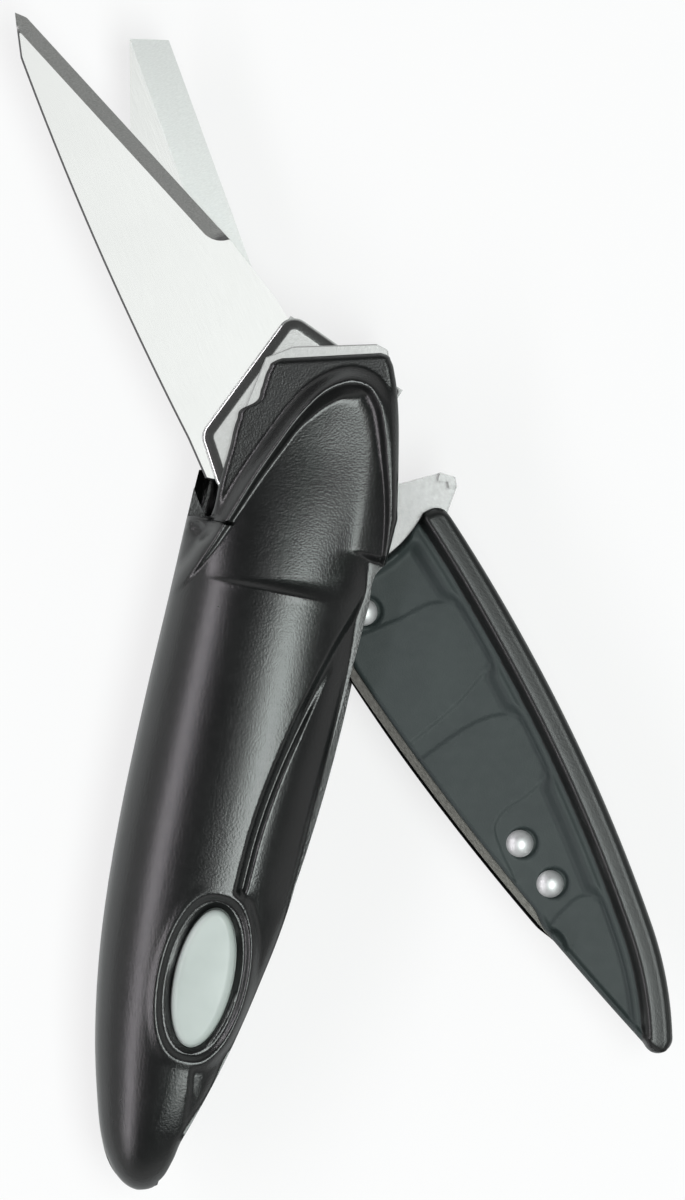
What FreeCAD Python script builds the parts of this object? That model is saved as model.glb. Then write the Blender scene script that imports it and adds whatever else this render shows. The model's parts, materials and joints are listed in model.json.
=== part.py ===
import FreeCAD, Part
import math
import os
import re

import Sketcher

# Oyster knife with a squeeze lever: a moulded handle in two halves, a steel frame with one pivot,
# a lever that carries the pointed front blade, and a blunt rear blade that the lever drags along.
# Every piece is drawn with the lever closed, the pivot at the origin, the handle's length along Y
# and the front face up. Each group is then turned about the pivot to the open rest position.

doc = FreeCAD.newDocument("oyster_knife")
sheet = doc.addObject("Spreadsheet::Sheet", "Sizes")

# Driving dimensions: name, value in millimetres or degrees, meaning
DRIVING = [
    ("grip_width", 31.3, "closed handle and lever, side to side"),
    ("grip_length", 110, "pivot to butt"),
    ("grip_depth", 22, "front to back at the thickest place"),
    ("cover_wall", 2.4, "wall of the moulded covers"),
    ("collar_width", 26.6, "front collar, side to side"),
    ("collar_height", 17.7, "pivot to the top of the frame plates"),
    ("collar_thickness", 2.5, "cover over the frame plates"),
    ("dish_depth", 1.4, "thumb dish below the arch"),
    ("groove_depth", 1.0, "curved groove in the front cover"),
    ("wing_drop", 0.5, "area beside the groove"),
    ("ring_height", 0.5, "ring round the button"),
    ("ring_width", 1.3, "ring round the button"),
    ("moat_width", 1.1, "groove between ring and button"),
    ("moat_depth", 0.9, "groove between ring and button"),
    ("frame_thickness", 1.5, "steel liner plates"),
    ("bracket_width", 30.4, "pressed plate over the blade root"),
    ("bracket_height", 19.5, "pivot to the top corner of that plate"),
    ("bracket_thickness", 1.2, "sheet of that plate"),
    ("bracket_round", 1.0, "rolled edge of that plate"),
    ("corner_round", 1.6, "corners of the pressed plates in plan"),
    ("arm_thickness", 1.2, "sheet of the lever arm"),
    ("blade_width", 21.6, "front blade at its heel"),
    ("blade_reach", 77.3, "pivot to the tip of the front blade"),
    ("blade_thickness", 2.1, "front blade"),
    ("tang_step", 0.1, "root of the front blade below its open face"),
    ("blade_bevel", 2.6, "ground edge of the front blade, in plan"),
    ("blade_edge", 0.4, "thickness left at the front blade's edge"),
    ("bevel_runout", 3.4, "round end of the front blade's grinding"),
    ("rear_blade_width", 12.3, "rear blade"),
    ("rear_blade_reach", 66, "pivot to the tip of the rear blade"),
    ("rear_blade_thickness", 2.0, "rear blade"),
    ("rear_blade_bevel", 5.3, "ground edge of the rear blade, in plan"),
    ("rear_blade_edge", 0.7, "thickness left at the rear blade's edge"),
    ("hub_radius", 7.2, "blade tangs round the pivot"),
    ("plate_gap", 0.2, "running gap between neighbouring plates"),
    ("pin_radius", 3.0, "pivot pin"),
    ("pin_socket", 1.0, "depth of the pin ends in the covers"),
    ("stop_radius", 1.5, "stop pin"),
    ("stop_clearance", 0.11, "arm to stop pin at rest"),
    ("run_clearance", 0.05, "moving part on a pin, on the radius"),
    ("fit_clearance", 0.03, "fixed part in its hole, on the radius"),
    ("sweep_clearance", 0.4, "lever mouldings past the frame plates"),
    ("mouth_clearance", 0.3, "lever to the lips of the covers"),
    ("lever_depth", 9.0, "lever rim, front to back"),
    ("lever_floor", 1.4, "recessed floor of the lever mouldings"),
    ("panel_height", 0.35, "raised panels on the lever floor"),
    ("shell_radius", 18.3, "top end of the lever mouldings, about the pivot"),
    ("catch_height", 1.5, "catch on the lever above its floor"),
    ("catch_width", 1.8, "catch across the lever"),
    ("catch_length", 3.4, "catch along the lever"),
    ("rivet_radius", 1.2, "lever rivets, shank"),
    ("rivet_head_radius", 2.0, "lever rivets, head"),
    ("rivet_head_height", 1.0, "lever rivets, domed head"),
    ("rivet_tail_height", 0.6, "lever rivets, rear head"),
    ("root_rivet_radius", 1.5, "flush rivets through the blade root"),
    ("drive_radius", 9.5, "drive pin, from the pivot"),
    ("drive_angle", 100, "drive pin with the lever closed, from the X axis"),
    ("drive_pin_radius", 1.2, "drive pin"),
    ("drive_clearance", 0.1, "drive pin to the sides of its slot"),
    ("button_width", 8.4, "oval button"),
    ("button_length", 20.4, "oval button"),
    ("button_clearance", 0.15, "button to its hole, each side"),
    ("button_travel", 1.0, "how far the button goes in"),
    ("flange_width", 0.8, "step round the foot of the button"),
    ("flange_thickness", 0.8, "step round the foot of the button"),
    ("peg_radius", 1.2, "locking peg under the button"),
    ("peg_clearance", 0.4, "peg above the lever's catch at rest"),
    ("retainer_thickness", 0.6, "plate under the button"),
    ("retainer_margin", 1.7, "plate past the button, at each end"),
    ("well_wall", 1.2, "wall round the button's foot"),
    ("well_end", 3.8, "wall past the button, at each end"),
    ("retainer_screw_radius", 0.6, "small screws, shank"),
    ("retainer_screw_head_radius", 1.2, "small screws, head"),
    ("retainer_screw_head", 0.6, "small screws, head height"),
    ("retainer_screw_length", 2.6, "small screws, shank length"),
    ("button_spring_width", 4.0, "bowed leaf under the button"),
    ("button_spring_thickness", 0.3, "bowed leaf under the button"),
    ("button_spring_span", 8.0, "bowed leaf under the button"),
    ("lever_spring_width", 5.0, "hairpin spring, front to back"),
    ("lever_spring_thickness", 0.5, "hairpin spring strip"),
    ("screw_radius", 1.0, "cover screws, shank"),
    ("screw_head_radius", 1.7, "cover screws, head"),
    ("screw_head", 1.8, "cover screws, head height"),
    ("screw_seat", 4.6, "head seat, behind the parting plane"),
    ("screw_reach", 4.0, "shank past the parting plane"),
    ("boss_radius", 1.8, "posts that the screws join"),
    ("seat_radius", 2.8, "posts at the screw heads"),
    ("seat_thickness", 1.2, "rear post under a screw head"),
    ("handle_lean", 12.6, "handle, clockwise from the Y axis at rest"),
    ("lever_opening", 40, "lever at rest, from closed"),
    ("rear_blade_opening", 28, "rear blade at rest, from closed"),
    ("overrun", 6, "cuts past the faces that they open"),
]
for row, (alias, number, meaning) in enumerate(DRIVING, 1):
    sheet.set(f"A{row}", meaning)
    sheet.set(f"B{row}", str(number))
    sheet.setAlias(f"B{row}", alias)
doc.recompute()
ALIASES = {alias for alias, number, meaning in DRIVING}

# Levels of the stack on the pivot, from the front frame plate to the rear one
TANG = "(blade_thickness - tang_step)"
SHEETS = f"bracket_thickness + {TANG} + arm_thickness + rear_blade_thickness"
FRAME_INNER = f"({SHEETS} + 3 * plate_gap) / 2"
FRAME_OUTER = f"({FRAME_INNER} + frame_thickness)"
COLLAR_TOP = f"({FRAME_OUTER} + collar_thickness)"
BRACKET_TOP = f"({FRAME_INNER} - plate_gap)"
BLADE_TOP = f"({BRACKET_TOP} - bracket_thickness)"
BLADE_FACE = f"({BLADE_TOP} + tang_step)"
ARM_TOP = f"({BLADE_TOP} - {TANG})"
ARM_BOTTOM = f"({ARM_TOP} - arm_thickness)"
REAR_BLADE_TOP = f"({ARM_BOTTOM} - plate_gap)"
REAR_BLADE_BOTTOM = f"({REAR_BLADE_TOP} - rear_blade_thickness)"
FLOOR_TOP = f"({ARM_TOP} + lever_floor)"
FLOOR_BOTTOM = f"({ARM_BOTTOM} - lever_floor)"
CATCH_TOP = f"({FLOOR_TOP} + catch_height)"
MOUTH = "(lever_depth / 2 + mouth_clearance)"
WELL_TOP = f"({MOUTH} + button_travel + flange_thickness + 2 * fit_clearance)"
FLANGE_BOTTOM = f"({MOUTH} + button_travel + fit_clearance)"

# Outlines in plan. A row is a corner, or with "bend" a point that a round edge passes through.
BEND = "bend"
POD_STATION_SHARES = [
    (0.145, -0.013, 0.479, 0.345),
    (0.0, -0.013, 0.486, 0.391),
    (-0.109, -0.024, 0.482, 0.436),
    (-0.2, -0.024, 0.484, 0.473),
    (-0.364, -0.014, 0.5, 0.5),
    (-0.527, -0.014, 0.494, 0.491),
    (-0.673, -0.018, 0.458, 0.455),
    (-0.8, -0.019, 0.39, 0.386),
    (-0.891, -0.024, 0.305, 0.309),
    (-0.949, -0.043, 0.216, 0.227),
    (-0.982, -0.056, 0.133, 0.145),
    (-1.0, -0.05, 0.045, 0.05),
]
SECTION_CORNER_SHARES = (0.788, 0.616)
CAVITY_STATIONS = slice(3, 9)
FEATURE_STATIONS = slice(0, 10)
COLLAR_SHARES = [
    (-0.462, -0.904),
    (-0.462, -0.367),
    (-0.451, 0.147),
    (-0.361, 0.311),
    (-0.32, 0.621),
    (-0.286, 0.712),
    (0.263, 0.944),
    (0.312, 0.893),
    (0.357, 0.751),
    (0.444, 0.277),
    (0.511, -0.209),
    (0.538, -0.667),
    (0.462, -0.904),
]
FRAME_SHARES = [
    (-0.361, 0.695),
    (-0.226, 0.831),
    (0.214, 1.0),
    (0.282, 0.972),
    (0.323, 0.791),
    (0.406, 0.277),
    (0.466, -0.209),
    (0.474, -0.655),
    (0.0, -0.972, BEND),
    (-0.455, -0.7),
    (-0.455, -0.367),
    (-0.421, 0.147),
    (-0.398, 0.373),
]
ARCH_SHARES = [
    (-0.639, -1.41),
    (-0.323, -0.282),
    (-0.226, 0.09),
    (0.086, 0.678, BEND),
    (0.406, 0.271),
    (0.511, -0.226),
    (0.571, -0.791),
    (0.602, -1.41),
]
DISH_SHARES = [
    (-0.451, -1.158),
    (-0.237, -0.339),
    (-0.135, 0.056),
    (0.086, 0.542, BEND),
    (0.316, 0.22),
    (0.417, -0.237),
    (0.466, -0.791),
    (0.395, -1.107),
    (0.0, -1.198, BEND),
]
GROOVE_SHARES = [
    (0.358, -0.177),
    (0.233, -0.341),
    (0.109, -0.518),
    (0.099, -0.6),
    (0.147, -0.6),
    (0.157, -0.518),
    (0.284, -0.341),
    (0.409, -0.177),
]
WING_SHARES = [
    (0.409, -0.177),
    (0.284, -0.341),
    (0.157, -0.518),
    (0.147, -0.6),
    (0.224, -0.636),
    (0.288, -0.818),
    (0.64, -0.818),
    (0.64, -0.177),
]
TAIL_GROOVE_SHARES = [
    (0.054, -0.809),
    (0.08, -0.914),
    (0.125, -0.914),
    (0.102, -0.809),
]
LIP_SHARES = [
    (0.393, -0.13),
    (0.371, -0.545, BEND),
    (0.195, -0.836),
    (0.102, -0.927),
    (0.042, -0.982),
    (0.0, -1.1),
    (1.0, -1.1),
    (1.0, -0.13),
]
MOUTH_SHARES = [
    (-0.405, -0.118),
    (-0.405, -0.215),
    (-0.339, -0.3),
    (-0.168, -0.591, BEND),
    (0.083, -0.895),
    (0.115, -0.927),
    (0.304, -0.927),
    (1.0, -0.727),
    (1.0, -0.118),
]
THROAT_SHARES = [(0.0, -0.16), (1.0, -0.16), (1.0, 0.05), (0.0, 0.05)]
LEVER_SHARES = [
    (-0.281, -0.115),
    (0.419, -0.115),
    (0.486, -0.409, BEND),
    (0.399, -0.759),
    (0.351, -0.824, BEND),
    (0.243, -0.905),
    (0.16, -0.916, BEND),
    (0.11, -0.895),
    (-0.137, -0.593, BEND),
    (-0.308, -0.291),
]
RECESS_SHARES = [
    (-0.6, -0.05),
    (0.268, -0.05),
    (0.284, -0.409, BEND),
    (0.224, -0.727),
    (0.183, -0.83, BEND),
    (0.118, -0.888),
    (-0.6, -0.95),
]
PANEL_SHARES = [
    [(-0.262, -0.235), (0.2, -0.225), (0.24, -0.3, BEND), (0.235, -0.38), (-0.21, -0.4)],
    [(-0.195, -0.43), (0.21, -0.44), (0.225, -0.5, BEND), (0.2, -0.555), (-0.09, -0.555)],
    [(0.05, -0.72), (0.15, -0.7), (0.165, -0.78, BEND), (0.125, -0.86), (0.09, -0.84)],
]
BRACKET_SHARES = [
    (0.217, 1.0),
    (-0.418, 0.513),
    (-0.47, 0.118),
    (-0.362, -0.154),
    (-0.214, -0.369),
    (0.0, -0.462, BEND),
    (0.214, -0.338),
    (0.345, -0.051),
    (0.53, 0.118),
]
ARM_HEAD_SHARES = BRACKET_SHARES[:4] + [(-0.25, -0.462)]
ARM_TAIL_SHARES = [
    (-0.268, -0.155),
    (-0.319, -0.291),
    (-0.149, -0.591, BEND),
    (-0.048, -0.718),
    (0.144, -0.7),
    (0.262, -0.436, BEND),
    (0.262, -0.173),
    (0.422, -0.155),
    (0.53, -0.127),
    (0.546, -0.114),
    (0.492, -0.099),
]
ARM_NECK_SHARES = [(0.3125, -0.492), (0.27, -0.205)] + BRACKET_SHARES[7:]
FLANGE_SHARES = [
    (0.492, -0.099),
    (0.546, -0.114),
    (0.53, -0.127),
    (0.495, -0.123),
    (0.505, -0.115),
    (0.466, -0.108),
]
SHOULDER_CORNERS = (2, 3)
SHOULDER_CONTACT_SHARE = 0.49
BLADE_SHARES = [
    (-0.713, 0.052),
    (-0.694, 0.135),
    (-0.639, 0.554, BEND),
    (-0.514, 0.918),
    (-0.407, 1.0),
    (-0.352, 0.982),
    (0.176, 0.433),
    (0.269, 0.292),
    (0.287, 0.22),
]
BLADE_HEEL_SHARES = [(-0.62, 0.034)]
TANG_SHARES = [(0.403, 1.16), (-0.613, 0.381), (-0.613, -0.6), (0.403, -0.6)]
BLADE_EDGE_CORNERS = (5, 6)
REAR_BLADE_SHARES = [
    (-0.772, 0.303),
    (-1.073, 0.667),
    (-1.057, 0.802),
    (-0.78, 0.998),
    (-0.333, 0.974),
    (-0.081, 0.398),
    (0.122, 0.303),
    (0.366, 0.152),
]
REAR_BLADE_EDGE_CORNERS = (4, 5)
HUB_SHARES = [(0.8, -0.6), (0.0, -1.0, BEND), (-0.8, -0.6)]
REAR_HUB_SHARES = [(0.8, 0.6), (0.0, -1.0, BEND), (-0.8, 0.6)]
ROOT_RIVET_SHARES = [(-0.164, 0.359), (0.112, 0.492)]
LEVER_RIVET_SHARES = [(-0.123, -0.217), (0.026, -0.585), (0.065, -0.651)]
SCREW_SHARES = [(-0.371, -0.345), (-0.272, -0.6), (-0.089, -0.882)]
BUTTON_SHARE = (0.042, -0.705)
CATCH_SHARE = (-0.038, -0.724)
PEG_SHARE = (0.048, -0.724)
BUTTON_SPRING_SHARE = -0.656
FRONT_COVER_STEP_SHARE = -0.13
REAR_COVER_STEP_SHARE = -0.045
SPRING_FOOT_SHARE = (-0.398, -0.173)
SPRING_HEEL_SHARE = (-0.398, -0.245)
SPRING_BEND_SHARE = (-0.358, -0.259)
SPRING_LEG_SHARE = (-0.315, -0.246)
SPRING_TIP_SHARE = (0.094, -0.153)
STRIP_SLANT_SHARE = 0.7
QUARTER_BEND_SHARE = 1 - math.sqrt(0.5)


def cells(text):
    """Write a formula in size names as an expression on the sheet."""
    return re.sub(r"[a-z_]+", lambda word: sheet_name(word.group(0)), text)


def sheet_name(word):
    return f"Sizes.{word}" if word in ALIASES else word


def value(text):
    """The number that a formula in size names comes to."""
    return float(sheet.evalExpression(cells(text)))


def bind(item, prop, text):
    item.setExpression(prop, cells(text))


def placed(shares, across, along):
    """Outline rows as formulas: shares of one size across and of another along."""
    rows = []
    for share in shares:
        rows.append((f"{across} * {share[0]}", f"{along} * {share[1]}", len(share) == 3))
    return rows


def grip(shares):
    return placed(shares, "grip_width", "grip_length")


def collar(shares):
    return placed(shares, "collar_width", "collar_height")


def bracket(shares):
    return placed(shares, "bracket_width", "bracket_height")


def spot(row):
    return FreeCAD.Vector(value(row[0]), value(row[1]), 0)


def turned(point, angle):
    return FreeCAD.Rotation(FreeCAD.Vector(0, 0, 1), angle).multVec(point)


def pin_point(sketch, geometry, end, row):
    """Hold one point of a sketch at the place that its formulas give."""
    place = spot(row)
    for kind, number, text in (("DistanceX", place.x, row[0]), ("DistanceY", place.y, row[1])):
        index = sketch.addConstraint(Sketcher.Constraint(kind, -1, 1, geometry, end, number))
        bind(sketch, f"Constraints[{index}]", text)


def draw_edge(sketch, first, middle, last):
    """Add a straight edge, or an arc through a middle point; give its id and end numbers."""
    start, end = spot(first), spot(last)
    if middle is None:
        return sketch.addGeometry(Part.LineSegment(start, end)), 1, 2
    crest = spot(middle)
    leftward = (crest - start).cross(end - crest).z > 0
    arc = Part.Arc(start, crest, end) if leftward else Part.Arc(end, crest, start)
    edge = sketch.addGeometry(arc)
    through = sketch.addGeometry(Part.Point(crest), True)
    pin_point(sketch, through, 1, middle)
    sketch.addConstraint(Sketcher.Constraint("PointOnObject", through, 1, edge))
    return (edge, 1, 2) if leftward else (edge, 2, 1)


def draw_outline(sketch, rows):
    """Draw a closed outline and hold its corners with constraints on the sheet."""
    corners = [index for index, row in enumerate(rows) if not row[2]]
    edges = []
    for index, following in zip(corners, corners[1:] + [corners[0] + len(rows)]):
        middle = rows[index + 1] if following - index == 2 else None
        edge, start, end = draw_edge(sketch, rows[index], middle, rows[following % len(rows)])
        pin_point(sketch, edge, start, rows[index])
        edges.append((edge, start, end))
    for (edge, start, end), (after, after_start, after_end) in zip(edges, edges[1:] + edges[:1]):
        sketch.addConstraint(Sketcher.Constraint("Coincident", edge, end, after, after_start))


def draw_hole(sketch, x, y, radius):
    centre = spot((x, y))
    hole = sketch.addGeometry(Part.Circle(centre, FreeCAD.Vector(0, 0, 1), value(radius)))
    pin_point(sketch, hole, 3, (x, y))
    index = sketch.addConstraint(Sketcher.Constraint("Radius", hole, value(radius)))
    bind(sketch, f"Constraints[{index}]", radius)


def body_sketch(body, name, plane, offset):
    """A sketch on one of the body's own origin planes, moved along its normal."""
    sketch = body.newObject("Sketcher::SketchObject", name)
    support = [item for item in body.Origin.OriginFeatures if item.Role == plane]
    sketch.AttachmentSupport = [(support[0], "")]
    sketch.MapMode = "FlatFace"
    bind(sketch, "AttachmentOffset.Base.z", offset)
    return sketch


def add_pad(body, name, sketch, length):
    pad = body.newObject("PartDesign::Pad", name)
    pad.Profile = sketch
    bind(pad, "Length", length)
    doc.recompute()
    return pad


def plate(name, rows, holes, bottom, thickness):
    """A flat plate: an outline with round holes, padded to its thickness."""
    body = doc.addObject("PartDesign::Body", name)
    sketch = body_sketch(body, f"{name}Outline", "XY_Plane", bottom)
    draw_outline(sketch, rows)
    for x, y, radius in holes:
        draw_hole(sketch, x, y, radius)
    add_pad(body, f"{name}Pad", sketch, thickness)
    return body


def round_edges(body, name, radius, wanted):
    """Fillet the edges of the body's last feature for which wanted(edge) is true."""
    base = body.Tip
    names = [f"Edge{number}" for number, edge in enumerate(base.Shape.Edges, 1) if wanted(edge)]
    fillet = body.newObject("PartDesign::Fillet", name)
    fillet.Base = (base, names)
    bind(fillet, "Radius", radius)
    doc.recompute()
    return fillet


def prism(name, rows, bottom, height):
    """A closed outline pulled up from one level."""
    sketch = doc.addObject("Sketcher::SketchObject", f"{name}Outline")
    draw_outline(sketch, rows)
    bind(sketch, "Placement.Base.z", bottom)
    return pulled(name, sketch, height)


def pulled(name, profile, height):
    solid = doc.addObject("Part::Extrusion", name)
    solid.Base = profile
    solid.DirMode = "Normal"
    solid.Solid = True
    bind(solid, "LengthFwd", height)
    return solid


def oval(name, centre, width, length, bottom, height):
    """An upright oval column, its long axis along the handle."""
    ring = doc.addObject("Part::Ellipse", f"{name}Outline")
    bind(ring, "MajorRadius", f"({length}) / 2")
    bind(ring, "MinorRadius", f"({width}) / 2")
    ring.Placement.Rotation = FreeCAD.Rotation(FreeCAD.Vector(0, 0, 1), 90)
    bind(ring, "Placement.Base.x", centre[0])
    bind(ring, "Placement.Base.y", centre[1])
    bind(ring, "Placement.Base.z", bottom)
    return pulled(name, ring, height)


def column(name, x, y, radius, bottom, height):
    """An upright round column."""
    solid = doc.addObject("Part::Cylinder", name)
    bind(solid, "Radius", radius)
    bind(solid, "Height", height)
    bind(solid, "Placement.Base.x", x)
    bind(solid, "Placement.Base.y", y)
    bind(solid, "Placement.Base.z", bottom)
    return solid


def join(name, *items):
    solid = doc.addObject("Part::MultiFuse", name)
    solid.Shapes = list(items)
    return solid


def common(name, first, second):
    solid = doc.addObject("Part::MultiCommon", name)
    solid.Shapes = [first, second]
    return solid


def cut(name, base, *tools):
    solid = base
    for number, tool in enumerate(tools, 1):
        step = doc.addObject("Part::Cut", f"{name}{number}")
        step.Base = solid
        step.Tool = tool
        solid = step
    return solid


def group(name, items):
    solid = doc.addObject("Part::Compound", name)
    solid.Links = items
    return solid


def pod_section(name, centre, along, half_width, half_depth):
    """One upright oval across the handle, of four arcs that meet without a corner."""
    across, up = SECTION_CORNER_SHARES
    section = doc.addObject("Sketcher::SketchObject", name)
    draw_outline(section, [
        (f"{half_width} * {across}", f"{half_depth} * {up}", False),
        ("0", half_depth, True),
        (f"{half_width} * -{across}", f"{half_depth} * {up}", False),
        (f"0 - {half_width}", "0", True),
        (f"{half_width} * -{across}", f"{half_depth} * -{up}", False),
        ("0", f"0 - {half_depth}", True),
        (f"{half_width} * {across}", f"{half_depth} * -{up}", False),
        (half_width, "0", True),
    ])
    section.Placement.Rotation = FreeCAD.Rotation(FreeCAD.Vector(1, 0, 0), 90)
    bind(section, "Placement.Base.x", centre)
    bind(section, "Placement.Base.y", along)
    return section


def pod(name, stations, inset):
    """The closed handle's swelling form, set in by a distance, lofted through oval sections."""
    sections = []
    for number, (along, centre, half_width, half_depth) in enumerate(stations, 1):
        sections.append(pod_section(
            f"{name}Section{number}", f"grip_width * {centre}", f"grip_length * {along}",
            f"(grip_width * {half_width} - ({inset}))", f"(grip_depth * {half_depth} - ({inset}))"))
    loft = doc.addObject("Part::Loft", name)
    loft.Sections = sections
    loft.Solid = True
    return loft


def at(share, across="grip_width", along="grip_length"):
    return f"{across} * {share[0]}", f"{along} * {share[1]}"


# The stop pin stands where the arm's shoulder meets it with the lever open
shoulder_start, shoulder_end = [spot(bracket(BRACKET_SHARES)[index]) for index in SHOULDER_CORNERS]
shoulder = shoulder_end - shoulder_start
shoulder_out = FreeCAD.Vector(shoulder.y, -shoulder.x, 0).normalize()
shoulder_touch = shoulder_start + shoulder * SHOULDER_CONTACT_SHARE
stop_closed = shoulder_touch + shoulder_out * value("stop_radius + stop_clearance")
stop_place = turned(stop_closed, value("lever_opening"))
STOP = (str(stop_place.x), str(stop_place.y))

PIVOT = ("0", "0")
RUN_HOLE = (*PIVOT, "pin_radius + run_clearance")
PIVOT_HOLE = (*PIVOT, "pin_radius + fit_clearance")
STOP_HOLE = (*STOP, "stop_radius + fit_clearance")
ROOT_RIVETS = [at(share, "bracket_width", "bracket_height") for share in ROOT_RIVET_SHARES]
ROOT_RIVET_HOLES = [(x, y, "root_rivet_radius + fit_clearance") for x, y in ROOT_RIVETS]
LEVER_RIVETS = [at(share) for share in LEVER_RIVET_SHARES]
LEVER_RIVET_HOLES = [(x, y, "rivet_radius + fit_clearance") for x, y in LEVER_RIVETS]
DRIVE_PIN = ("drive_radius * cos(drive_angle)", "drive_radius * sin(drive_angle)")
DRIVE_HOLE = (*DRIVE_PIN, "drive_pin_radius + fit_clearance")
BUTTON = at(BUTTON_SHARE)
PEG = at(PEG_SHARE)
SCREWS = [at(share) for share in SCREW_SHARES]


def is_upright(edge):
    return abs(edge.tangentAt(edge.FirstParameter).z) > 1 - Part.Precision.confusion()


def frame_plate(name, bottom):
    return plate(name, collar(FRAME_SHARES), [PIVOT_HOLE, STOP_HOLE], bottom, "frame_thickness")


def make_bracket():
    """Pressed plate over the blade root, its corners round and its front edge rolled."""
    rows = bracket(BRACKET_SHARES)
    body = plate("Bracket", rows, [RUN_HOLE, *ROOT_RIVET_HOLES], BLADE_TOP, "bracket_thickness")
    round_edges(body, "BracketCorners", "corner_round", is_upright)
    top = value(BRACKET_TOP)
    round_edges(body, "BracketRim", "bracket_round", lambda edge: is_rim(edge, top))
    return body


def is_rim(edge, level):
    """True for an edge of the outline at a level, and not for the round holes."""
    box = edge.BoundBox
    flat = abs(box.ZMin - level) + abs(box.ZMax - level) < Part.Precision.confusion()
    return flat and not edge.isClosed()


def make_arm():
    """Steel arm from the blade root down into the lever, with a turned-up edge at its shoulder."""
    rows = bracket(ARM_HEAD_SHARES) + grip(ARM_TAIL_SHARES) + bracket(ARM_NECK_SHARES)
    holes = [RUN_HOLE, DRIVE_HOLE, *ROOT_RIVET_HOLES, *LEVER_RIVET_HOLES]
    body = plate("Arm", rows, holes, ARM_BOTTOM, "arm_thickness")
    sketch = body_sketch(body, "ArmFlangeOutline", "XY_Plane", ARM_TOP)
    draw_outline(sketch, grip(FLANGE_SHARES))
    add_pad(body, "ArmFlange", sketch, f"{BRACKET_TOP} - {ARM_TOP}")
    return body, rows


def ground_edge(name, rows, corners, width, edge_left, thickness, level, runout):
    """The space that grinding takes off one edge of a blade: a sloping cut with a round end."""
    tip, heel = [spot(rows[index]) for index in corners]
    along = heel - tip
    slope = math.degrees(math.atan2(value(f"{thickness} - {edge_left}"), value(width)))
    inward = FreeCAD.Vector(along.y, -along.x, 0).normalize()
    start = tip + inward * value(width)
    start.z = value(level)
    turn = FreeCAD.Rotation(FreeCAD.Vector(0, 0, 1), math.degrees(math.atan2(along.y, along.x)))
    tilt = FreeCAD.Rotation(FreeCAD.Vector(1, 0, 0), -slope)
    reach = str(along.Length)
    depth = f"{width} + overrun"
    bend = f"{runout} * {QUARTER_BEND_SHARE}"
    sketch = doc.addObject("Sketcher::SketchObject", f"{name}Outline")
    draw_outline(sketch, [
        ("0 - overrun", "0", False),
        (f"{reach} - {runout}", "0", False),
        (f"{reach} - {bend}", bend, True),
        (reach, runout, False),
        (reach, depth, False),
        ("0 - overrun", depth, False),
    ])
    sketch.Placement = FreeCAD.Placement(start, turn.multiply(tilt))
    return pulled(name, sketch, f"{thickness} + overrun")


def make_front_blade():
    """Pointed blade with one ground edge, its root round the pivot."""
    blade_rows = placed(BLADE_SHARES, "blade_width", "blade_reach")
    heel_rows = placed(BLADE_HEEL_SHARES, "blade_width", "blade_reach")
    hub_rows = placed(HUB_SHARES, "hub_radius", "hub_radius")
    rows = blade_rows + hub_rows + heel_rows
    holes = [RUN_HOLE, *ROOT_RIVET_HOLES]
    blank = plate("FrontBlade", rows, holes, ARM_TOP, "blade_thickness")
    grinding = ground_edge("FrontBladeGrinding", rows, BLADE_EDGE_CORNERS, "blade_bevel",
                           "blade_edge", "blade_thickness", BLADE_FACE, "bevel_runout")
    tang = prism("FrontBladeTang", bracket(TANG_SHARES), BLADE_TOP, "overrun")
    return cut("FrontBladeGround", blank, grinding, tang)


def slot_rows():
    """Curved slot for the drive pin: as long as the lever's lead over the rear blade."""
    half = "(drive_pin_radius + drive_clearance)"
    first = "drive_angle"
    last = "(drive_angle + lever_opening - rear_blade_opening)"
    middle = f"({first} + {last}) / 2"
    cap = f"atan({half} / drive_radius) / (1 deg)"
    outer = f"(drive_radius + {half})"
    inner = f"(drive_radius - {half})"

    def polar(radius, angle, bend):
        return f"{radius} * cos({angle})", f"{radius} * sin({angle})", bend

    return [
        polar(outer, first, False),
        polar(outer, middle, True),
        polar(outer, last, False),
        polar("drive_radius", f"{last} + {cap}", True),
        polar(inner, last, False),
        polar(inner, middle, True),
        polar(inner, first, False),
        polar("drive_radius", f"{first} - {cap}", True),
    ]


def make_rear_blade():
    """Blunt blade with a wide ground edge, turning on the pivot, with the drive pin's slot."""
    blade_rows = placed(REAR_BLADE_SHARES, "rear_blade_width", "rear_blade_reach")
    rows = blade_rows + placed(REAR_HUB_SHARES, "hub_radius", "hub_radius")
    body = plate("RearBlade", rows, [RUN_HOLE], REAR_BLADE_BOTTOM, "rear_blade_thickness")
    slot = prism("RearBladeSlot", slot_rows(), f"{REAR_BLADE_BOTTOM} - overrun",
                 "rear_blade_thickness + 2 * overrun")
    grinding = ground_edge("RearBladeGrinding", rows, REAR_BLADE_EDGE_CORNERS, "rear_blade_bevel",
                           "rear_blade_edge", "rear_blade_thickness", REAR_BLADE_TOP, "bevel_runout")
    return cut("RearBladeGround", body, slot, grinding)


def below(name, rows, core):
    """Everything in an outline that lies outside a set-in form: a recess of even depth."""
    region = prism(f"{name}Region", rows, "0", "grip_depth")
    return cut(f"{name}Recess", region, core)


def core(name, inset):
    return pod(name, POD_STATION_SHARES[FEATURE_STATIONS], inset)


def half_box(name, front, step_share):
    """Half of space on one side of the parting plane, up to the step at the collar."""
    box = doc.addObject("Part::Box", name)
    bind(box, "Length", "grip_width * 2")
    bind(box, "Width", "grip_length * 2")
    bind(box, "Height", "grip_depth")
    bind(box, "Placement.Base.x", "0 - grip_width")
    bind(box, "Placement.Base.y", f"grip_length * {step_share} - grip_length * 2")
    bind(box, "Placement.Base.z", "0" if front else "0 - grip_depth")
    return box


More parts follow.
